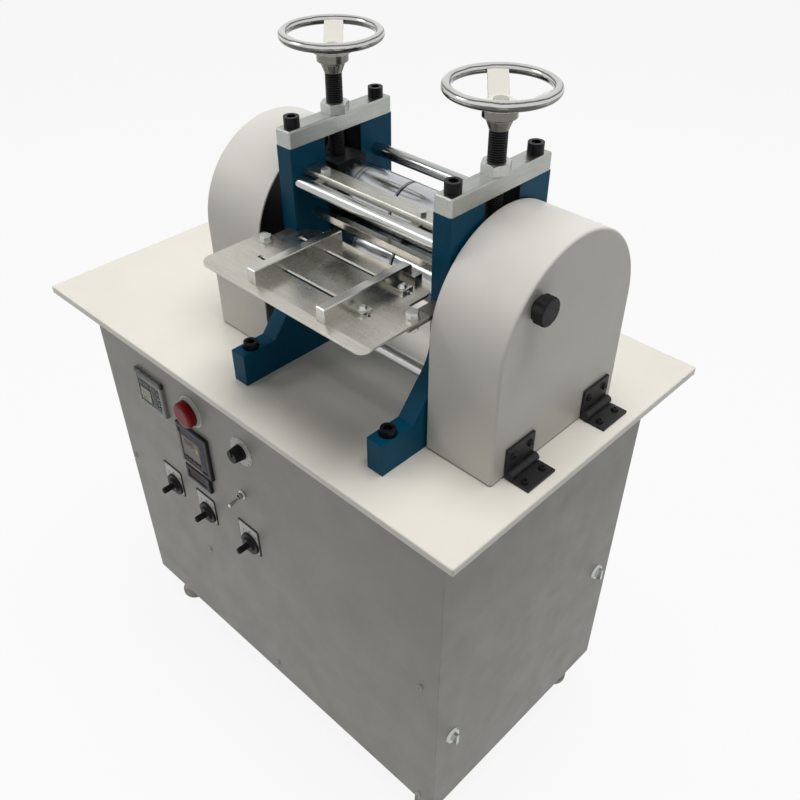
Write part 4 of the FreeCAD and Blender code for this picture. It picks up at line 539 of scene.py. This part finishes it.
# The chrome gets painted reflection bands, and painted shade on the undersides of the rims.
painted_reflection_bands(chrome, turns=9.5, colour=linear(66, 66, 65))
touch_up(chrome, between(chrome, "Z", *HUB_UP), linear(118, 116, 110))
wheel_tree = chrome.node_tree
wheel_shader = wheel_tree.nodes["Principled BSDF"]
within_rim = maths(wheel_tree, "MAXIMUM",
                   *(near_upright(chrome, *spindle, SPOKE_REACH) for spindle in SPINDLES))
spokes = both_of(chrome, within_rim, between(chrome, "Z", *SPOKES_UP))
touch_up(chrome, spokes, linear(214, 211, 202))
plated_gloss = wheel_shader.inputs["Roughness"].links[0].from_socket
feed(wheel_tree, wheel_shader, Metallic=maths(wheel_tree, "SUBTRACT", 1, spokes),
     Roughness=maths(wheel_tree, "MULTIPLY_ADD", spokes, SPOKE_DULLNESS, plated_gloss))
wear(chrome, "left_handwheel", "right_handwheel")


# ---------------------------------------------------------------- feed table, guides and nip guard
# A stainless plate on two bent brackets carries the sliding side guides for the strap.
# The guides and the cross bars are extruded aluminium; the bolts are plated.

stainless = metal("stainless", linear(196, 193, 184), linear(222, 220, 212),
                  stretch=(30, 360, 360), height=0.000008, gloss=(0.22, 0.34),
                  edge=(0.0006, 0.6))
bar_aluminium = metal("bar_aluminium", linear(196, 196, 190), linear(226, 226, 220),
                      stretch=(340, 26, 340), height=0.000012, gloss=(0.18, 0.3),
                      edge=(0.0008, 0.7))
cross_aluminium = metal("cross_aluminium", linear(186, 184, 176), linear(222, 222, 216),
                        stretch=(26, 340, 340), height=0.000012, gloss=(0.2, 0.32),
                        edge=(0.0008, 0.7))
shop_steel = metal("shop_steel", linear(138, 136, 130), linear(190, 188, 182),
                   stretch=(200, 200, 200), gloss=(0.38, 0.56), edge=(0.0008, 0.7))
wear(stainless, "feed_table")
wear(bar_aluminium, "left_guide_rail", "right_guide_rail")
wear(cross_aluminium, "guide_crossbar", "nip_guard_bar")
wear(shop_steel, "feed_table_brackets", "nip_guard_clamps")
wear(zinc, "hexagon_bolts")


# ---------------------------------------------------------------- guards, hinges and knob
# Folded and welded sheet covers over the gears and the chain, warm light grey, with painted shade
# inside.
# The right one swings on two black cast hinges and is held shut by a black hand knob.

def facing_inwards(material, split, middles, deep, up):
    """1 on the inner faces of two covers, which look to their cover's middle, and 0 elsewhere."""
    tree = material.node_tree
    surface = add(tree, "TexCoord").outputs
    across = add(tree, "SeparateXYZ", {0: surface["Object"]}).outputs["X"]
    right_one = maths(tree, "GREATER_THAN", across, split)
    left_middle, right_middle = middles
    middle_across = maths(tree, "MULTIPLY_ADD", right_one, right_middle - left_middle, left_middle)
    middle = add(tree, "CombineXYZ", {0: middle_across, 1: deep, 2: up}).outputs[0]
    outward = add(tree, "VectorMath", {0: surface["Object"], 1: middle}, operation="SUBTRACT")
    facing_out = add(tree, "VectorMath", {0: surface["Normal"], 1: outward.outputs[0]},
                     operation="DOT_PRODUCT").outputs["Value"]
    return maths(tree, "LESS_THAN", facing_out, 0)


GUARD_SPLIT, GUARD_MIDDLES, GUARD_DEEP, GUARD_UP = 0.1, (-0.05, 0.27), -0.005, 0.83
guard_grey = painted("guard_grey", linear(210, 207, 200), linear(150, 146, 138), mottle=0.03,
                     gloss=(0.3, 0.45), grain=(800, 0.00006), edge=(0.002, 0.45))
# The inner faces are painted near-black: painted shade inside the closed covers.
touch_up(guard_grey, facing_inwards(guard_grey, GUARD_SPLIT, GUARD_MIDDLES, GUARD_DEEP, GUARD_UP),
         linear(46, 45, 43))
hinge_black = painted("hinge_black", linear(28, 28, 29), linear(88, 86, 84), mottle=0.15,
                      gloss=(0.42, 0.6), grain=(900, 0.0002), edge=(0.001, 0.6),
                      Specular_IOR_Level=0.35)
black_plastic = moulded("black_plastic", linear(18, 18, 20), linear(52, 51, 50),
                        Specular_IOR_Level=0.13)
wear(guard_grey, "left_guard", "right_guard")
wear(hinge_black, "hinge_table_leaves", "hinge_guard_leaves")
wear(black_plastic, "guard_knob")

HINGE_MIDDLES = (-0.0755, 0.072)
HINGE_SCREW_STEP = 0.016
HINGE_HEAD_RADIUS, HINGE_HEAD_HEIGHT = 0.0048, 0.0026
TABLE_SCREW_ACROSS, TABLE_LEAF_TOP = 0.374, 0.7035
GUARD_LEAF_FACE, GUARD_SCREW_UP = 0.3535, 0.7300
table_heads = bmesh.new()
guard_heads = bmesh.new()
for hinge in HINGE_MIDDLES:
    for deep in (hinge - HINGE_SCREW_STEP, hinge + HINGE_SCREW_STEP):
        pan_screw(table_heads, (TABLE_SCREW_ACROSS, deep, TABLE_LEAF_TOP), (0, 0, 1),
                  HINGE_HEAD_RADIUS, HINGE_HEAD_HEIGHT)
        pan_screw(guard_heads, (GUARD_LEAF_FACE, deep, GUARD_SCREW_UP), (1, 0, 0),
                  HINGE_HEAD_RADIUS, HINGE_HEAD_HEIGHT)
finished("hinge_table_screws", table_heads, black_oxide, "cabinet")
finished("hinge_guard_screws", guard_heads, black_oxide, "right_guard")


# ---------------------------------------------------------------- instruments
# Three panel instruments in moulded bezels: a counter, a display unit and a meter, with keys,
# windows and six-bar noughts. The counter has a clear hinged splash cover.

instrument_grey = moulded("instrument_grey", linear(132, 133, 126), linear(156, 155, 148))
display_grey = moulded("display_grey", linear(118, 113, 107), linear(134, 130, 123),
                       Specular_IOR_Level=0.3)
instrument_dark = moulded("instrument_dark", linear(22, 25, 38), linear(52, 55, 64),
                          Specular_IOR_Level=0.18)
key_black = moulded("key_black", linear(22, 23, 23), linear(52, 52, 50), Specular_IOR_Level=0.15)
glass_pale = moulded("glass_pale", linear(178, 178, 140), linear(190, 190, 160),
                     gloss=(0.12, 0.2), grain=(300, 0.00001))
digit_dark = moulded("digit_dark", linear(52, 56, 40), linear(70, 72, 58))
digit_red = moulded("digit_red", linear(122, 22, 28), linear(132, 44, 46), gloss=(0.2, 0.3),
                    Specular_IOR_Level=0.1)
mark_yellow = moulded("mark_yellow", linear(168, 164, 84), linear(176, 172, 110))
COUNTER_TOP_SHADE = (0.5925, 0.61)
DISPLAY_TOP_BAND_AND_SHADE = (0.5315, 0.56)
DISPLAY_RIGHT_EDGE = (-0.1225, -0.09)
# Painted shade: a near-black band along the top of the counter.
touch_up(instrument_grey, between(instrument_grey, "Z", *COUNTER_TOP_SHADE), linear(22, 24, 22))
# A dark navy band along the top of the display: partly its own dark brow, partly painted shade
# under the stop button.
touch_up(display_grey, between(display_grey, "Z", *DISPLAY_TOP_BAND_AND_SHADE), linear(28, 36, 48))
touch_up(display_grey, between(display_grey, "X", *DISPLAY_RIGHT_EDGE), linear(20, 20, 24))
wear(instrument_grey, "counter_unit")
wear(display_grey, "display_unit")
wear(instrument_dark, "meter_unit")


def tile(shape, left, right, low, high, back, front, corner):
    """Add a flat tile facing -Y with its four corners rounded."""
    size = Vector((right - left, back - front, high - low))
    middle = Vector(((left + right) / 2, (back + front) / 2, (low + high) / 2))
    made = bmesh.ops.create_cube(shape, size=1.0,
                                 matrix=Matrix.LocRotScale(middle, None, size))
    edges = dict.fromkeys(edge for vert in made["verts"] for edge in vert.link_edges)
    deep = [edge for edge in edges if abs(edge.verts[0].co.y - edge.verts[1].co.y) > 1e-6]
    bmesh.ops.bevel(shape, geom=deep, offset=corner, offset_type="OFFSET", segments=3,
                    profile=0.5, affect="EDGES", material=-1)


# The lower left corners of the counter and the meter, and the upper left one of the display.
COUNTER, METER, DISPLAY = (-0.261, 0.544), (-0.163, 0.445), (-0.175, 0.549)
SCREEN_FACE = -0.2090


def tiles(name, finish, slot, instrument, *rows):
    """A piece made of flat tiles on an instrument.

    A row is left, right, low and high from the instrument's corner, how far the tile's back and
    front stand proud of the screen face, and the rounding of its corners.
    """
    shape = bmesh.new()
    across, up = instrument
    for left, right, low, high, back, front, corner in rows:
        tile(shape, across + left, across + right, up + low, up + high,
             SCREEN_FACE - back, SCREEN_FACE - front, corner)
    finished(name, shape, finish, "cabinet")


def noughts(name, finish, slot, instrument, *rows):
    """A piece made of six-bar noughts, a hair proud of an instrument's window.

    A row is how many there are, left and low from the instrument's corner, their height, and
    how far the window stands proud of the screen face.
    """
    shape = bmesh.new()
    for count, left, low, tall, proud in rows:
        wide, bar = tall * 0.52, tall * 0.11
        step, back, front = wide * 1.35, SCREEN_FACE - proud, SCREEN_FACE - proud - 0.0002
        lower, upper = (bar, tall / 2 - bar / 2), (tall / 2 + bar / 2, tall - bar)
        at_left, middle, at_right = (0, bar), (bar, wide - bar), (wide - bar, wide)
        bars = ((*middle, tall - bar, tall), (*at_right, *upper), (*at_right, *lower),
                (*middle, 0, bar), (*at_left, *lower), (*at_left, *upper))
        for place in range(count):
            across, up = instrument[0] + left + place * step, instrument[1] + low
            for x0, x1, z0, z1 in bars:
                tile(shape, across + x0, across + x1, up + z0, up + z1, back, front, bar * 0.3)
    finished(name, shape, finish, "cabinet")


tiles("counter_keys", key_black, "instrument_dark", COUNTER,
      (0.001, 0.030, 0.001, 0.031, 0, 0.0008, 0.0015),
      (0.0335, 0.0445, 0.003, 0.040, 0, 0.0008, 0.0015),
      *((0.0475, 0.0535, 0.004 + step, 0.010 + step, 0, 0.0012, 0.001)
        for step in (0, 0.010, 0.020, 0.030)),
      (0.001, 0.031, 0.034, 0.040, 0, 0.0008, 0.0015))
tiles("counter_glass", glass_pale, "instrument_grey", COUNTER,
      (0.003, 0.028, 0.004, 0.026, 0.0006, 0.0011, 0.001))
noughts("counter_figures", digit_dark, "instrument_dark", COUNTER,
        (4, 0.0048, 0.0145, 0.0080, 0.0011), (4, 0.0048, 0.0055, 0.0060, 0.0011))

tiles("display_keys", instrument_dark, "instrument_dark", DISPLAY,
      (0.009, 0.066, -0.021, -0.0085, 0, 0.0008, 0.001),
      (0.0535, 0.066, -0.069, -0.0215, 0, 0.0008, 0.001),
      *((0.010 + step, 0.018 + step, -0.068, -0.062, 0, 0.0012, 0.001)
        for step in (0, 0.0105, 0.0210, 0.0315)))
tiles("display_face", display_grey, "instrument_grey", DISPLAY,
      (0.009, 0.053, -0.058, -0.0215, 0, 0.0005, 0.001))
noughts("display_figures", digit_red, "button_red", DISPLAY,
        (4, 0.0165, -0.0345, 0.0085, 0.0005))
tiles("display_mark", mark_yellow, "instrument_grey", DISPLAY,
      (0.0435, 0.0505, -0.041, -0.031, 0.0005, 0.0010, 0.0008))

tiles("meter_face", key_black, "instrument_dark", METER,
      (0.001, 0.045, 0.001, 0.014, 0, 0.0006, 0.001))
noughts("meter_figures", digit_red, "button_red", METER,
        (3, 0.010, 0.0035, 0.0085, 0.0006))


def clear_plastic(name):
    """Thin clear acrylic: nearly invisible flat on, whiter along its edges and scratches."""
    material, tree, shader = start(name, Base_Color=linear(222, 228, 228), IOR=1.49)
    film = clouds(tree, scale=60, low=0.03, high=0.09)
    edges = rubbed(tree, radius=0.001, amount=0.6)
    feed(tree, shader, Alpha=maths(tree, "MAXIMUM", film, edges["Worn"]),
         Roughness=clouds(tree, scale=140, low=0.06, high=0.16))
    return material


wear(clear_plastic("clear_cover"), "counter_cover")


# ---------------------------------------------------------------- switches
# A red mushroom stop button, three black selectors, a speed knob and a small toggle, on white
# label plates with ticks. The collars are black plastic; the toggle is nickel plated.

button_red = moulded("button_red", linear(132, 6, 16), linear(140, 20, 26), gloss=(0.28, 0.4),
                     Specular_IOR_Level=0.15)
nickel = metal("nickel_plate", linear(186, 184, 176), linear(224, 222, 214), gloss=(0.14, 0.26))
collar_plastic = moulded("collar_plastic", linear(22, 22, 23), linear(56, 55, 53),
                         Specular_IOR_Level=0.15)
label_white = moulded("label_white", linear(206, 206, 200), linear(170, 168, 160),
                      gloss=(0.3, 0.45), grain=(500, 0.00001))
STOP_COLLAR_ACROSS, STOP_COLLAR_UP = (-0.158, -0.104), (0.56, 0.614)
stop_collar = both_of(collar_plastic, between(collar_plastic, "Z", *STOP_COLLAR_UP),
                      between(collar_plastic, "X", *STOP_COLLAR_ACROSS))
touch_up(collar_plastic, stop_collar, linear(196, 196, 190))
wear(button_red, "stop_button")
wear(collar_plastic, "switch_collars")
wear(black_plastic, "selector_a_knob", "selector_b_knob", "selector_c_knob", "speed_knob",
     "cable_gland")
wear(nickel, "toggle_bush", "toggle_lever")


def round_label(shape, across, up, radius, thick):
    """Add a round label plate on the panel, its rim softened by two steps of a quarter circle."""
    soft = thick * 0.4
    straight = thick - soft
    place = Matrix.Translation((across, PANEL_FRONT - straight / 2, up))
    made = bmesh.ops.create_cone(shape, cap_ends=True, segments=48, radius1=radius,
                                 radius2=radius, depth=straight,
                                 matrix=place @ Matrix.Rotation(math.pi / 2, 4, "X"))
    front = min((face for vert in made["verts"] for face in vert.link_faces),
                key=lambda face: face.calc_center_median().y)
    long_step = soft * math.sin(math.pi / 4)
    short_step = soft - long_step
    for inward, outward in ((short_step, long_step), (long_step, short_step)):
        bmesh.ops.inset_region(shape, faces=[front], thickness=inward, depth=outward,
                               use_even_offset=True)


SELECTORS = ((-0.224, 0.382), (-0.136, 0.378), (-0.027, 0.388))
SPEED_SPOT, SPEED_LABEL_RADIUS = (-0.016, 0.581), 0.0235
STOP_SPOT, STOP_LABEL_RADIUS = (-0.131, 0.587), 0.0262
ROUND_LABEL_THICK = 0.0010
BACK_PLATE = (-0.0265, 0.0225, -0.0170, 0.0380)
LABEL_PLATE = (-0.0250, 0.0195, -0.0155, 0.0345)
backs = bmesh.new()
labels = bmesh.new()
# The round labels come first: added after the tiles' bevels, their corners took another order
# at each run.
round_label(labels, *STOP_SPOT, STOP_LABEL_RADIUS, ROUND_LABEL_THICK)
round_label(labels, *SPEED_SPOT, SPEED_LABEL_RADIUS, ROUND_LABEL_THICK)
for across, up in SELECTORS:
    for shape, (left, right, low, high), back, front, corner in (
            (backs, BACK_PLATE, 0, 0.0008, 0.004), (labels, LABEL_PLATE, 0.0006, 0.0012, 0.003)):
        tile(shape, across + left, across + right, up + low, up + high, PANEL_FRONT - back,
             PANEL_FRONT - front, corner)
finished("label_backs", backs, black_plastic, "cabinet")
finished("labels", labels, label_white, "cabinet")


def tick(shape, spot, degrees, proud, reach, size):
    """Add one printed tick at a reach from a knob's middle, turned by degrees from upright."""
    place = Matrix.Translation((spot[0], PANEL_FRONT - proud, spot[1]))
    turned = Matrix.Rotation(math.radians(degrees), 4, "Y")
    stroke = Matrix.LocRotScale(Vector((0, 0, reach)), None, Vector(size))
    bmesh.ops.create_cube(shape, size=1.0, matrix=place @ turned @ stroke)


SPEED_TICKS = range(-135, 136, 27)
SELECTOR_TICKS = (-35, 0, 35)
marks = bmesh.new()
for degrees in SPEED_TICKS:
    tick(marks, SPEED_SPOT, degrees, proud=0.0011, reach=0.0215, size=(0.0006, 0.0003, 0.0028))
for selector in SELECTORS:
    for degrees in SELECTOR_TICKS:
        tick(marks, selector, degrees, proud=0.0013, reach=0.0245,
             size=(0.0010, 0.0003, 0.0040))
finished("label_marks", marks, key_black, "cabinet")


# ---------------------------------------------------------------- latches
# Two quarter-turn latches that hold the right-hand sheet.
# They are zinc plated like the studs and nuts.

wear(zinc, "front_latch", "back_latch")


# ---------------------------------------------------------------- studio
# A plain pale floor in a white room, under a large soft lamp overhead and a weak one in front.
# The camera and every mirror see floor and room as white, while the light these cast stays low.
# The overhead lamp has no mirror image, so bare metal shows the white room and not a glare.

def shown(tree):
    """1 for what the camera, a mirror or clear plastic sees, and 0 for light cast on things."""
    ray = add(tree, "LightPath").outputs
    mirrored = maths(tree, "MAXIMUM", ray["Is Camera Ray"], ray["Is Glossy Ray"])
    return maths(tree, "MAXIMUM", mirrored, ray["Is Transmission Ray"])


FLOOR_RADIUS = 14.0
FLOOR_GLOW = 0.9
WHITE = (1.0, 1.0, 1.0, 1.0)
floor_mesh = bmesh.new()
bmesh.ops.create_circle(floor_mesh, cap_ends=True, segments=96, radius=FLOOR_RADIUS)
floor_data = bpy.data.meshes.new("floor")
floor_mesh.to_mesh(floor_data)
floor_mesh.free()
floor = bpy.data.objects.new("floor", floor_data)
bpy.context.scene.collection.objects.link(floor)

floor_paint, floor_tree, floor_shader = start("floor_paint", Base_Color=(0.74, 0.74, 0.73, 1.0),
                                              Roughness=0.9, Specular_IOR_Level=0.1)
glow = add(floor_tree, "Emission", {"Color": WHITE, "Strength": 1.0})
floor_mix = add(floor_tree, "MixShader", {
    0: maths(floor_tree, "MULTIPLY", shown(floor_tree), FLOOR_GLOW),
    1: floor_shader.outputs[0], 2: glow.outputs[0]})
floor_tree.links.new(floor_mix.outputs[0], floor_tree.nodes["Material Output"].inputs["Surface"])
floor_data.materials.append(floor_paint)


def soft_lamp(name, place, aim, size, power):
    """A square soft box at a place, turned to what it lights."""
    data = bpy.data.lights.new(name, "AREA")
    data.shape = "SQUARE"
    data.size = size
    data.energy = power
    lamp = bpy.data.objects.new(name, data)
    lamp.location = place
    lamp.rotation_euler = (Vector(aim) - Vector(place)).to_track_quat("-Z", "Y").to_euler()
    bpy.context.scene.collection.objects.link(lamp)
    return lamp


MACHINE_MIDDLE = (0.05, 0.0, 0.75)
overhead = soft_lamp("key", (0.4, 0.15, 4.6), MACHINE_MIDDLE, size=2.4, power=147)
overhead.visible_glossy = False
soft_lamp("front", (-2.2, -2.2, 3.0), MACHINE_MIDDLE, size=1.2, power=15)

ROOM_LIGHT = 0.16
world = bpy.data.worlds.new("room")
bpy.context.scene.world = world
world.use_nodes = True
room = world.node_tree
sky = room.nodes["Background"]
sky.inputs["Color"].default_value = WHITE
room.links.new(ramp(room, shown(room), 0, 1, ROOM_LIGHT, 1), sky.inputs["Strength"])

# The camera stands above the front right corner and looks down by 40.79 degrees.
CAMERA_PLACE = (0.768, -0.702, 1.384)
CAMERA_TURN = math.radians(43.97)
CAMERA_TILT = math.radians(90 - 40.79)
CAMERA_LENS, CAMERA_SENSOR, CAMERA_SHIFT, CAMERA_NEAR = 39.43, 36.0, 0.0476, 0.05
camera_data = bpy.data.cameras.new("view")
camera_data.sensor_width = CAMERA_SENSOR
camera_data.lens = CAMERA_LENS
camera_data.shift_y = CAMERA_SHIFT
camera_data.clip_start = CAMERA_NEAR
camera = bpy.data.objects.new("view", camera_data)
camera.location = CAMERA_PLACE
camera.rotation_euler = (CAMERA_TILT, 0.0, CAMERA_TURN)
bpy.context.scene.collection.objects.link(camera)
bpy.context.scene.camera = camera
bpy.context.scene.view_settings.view_transform = "Standard"
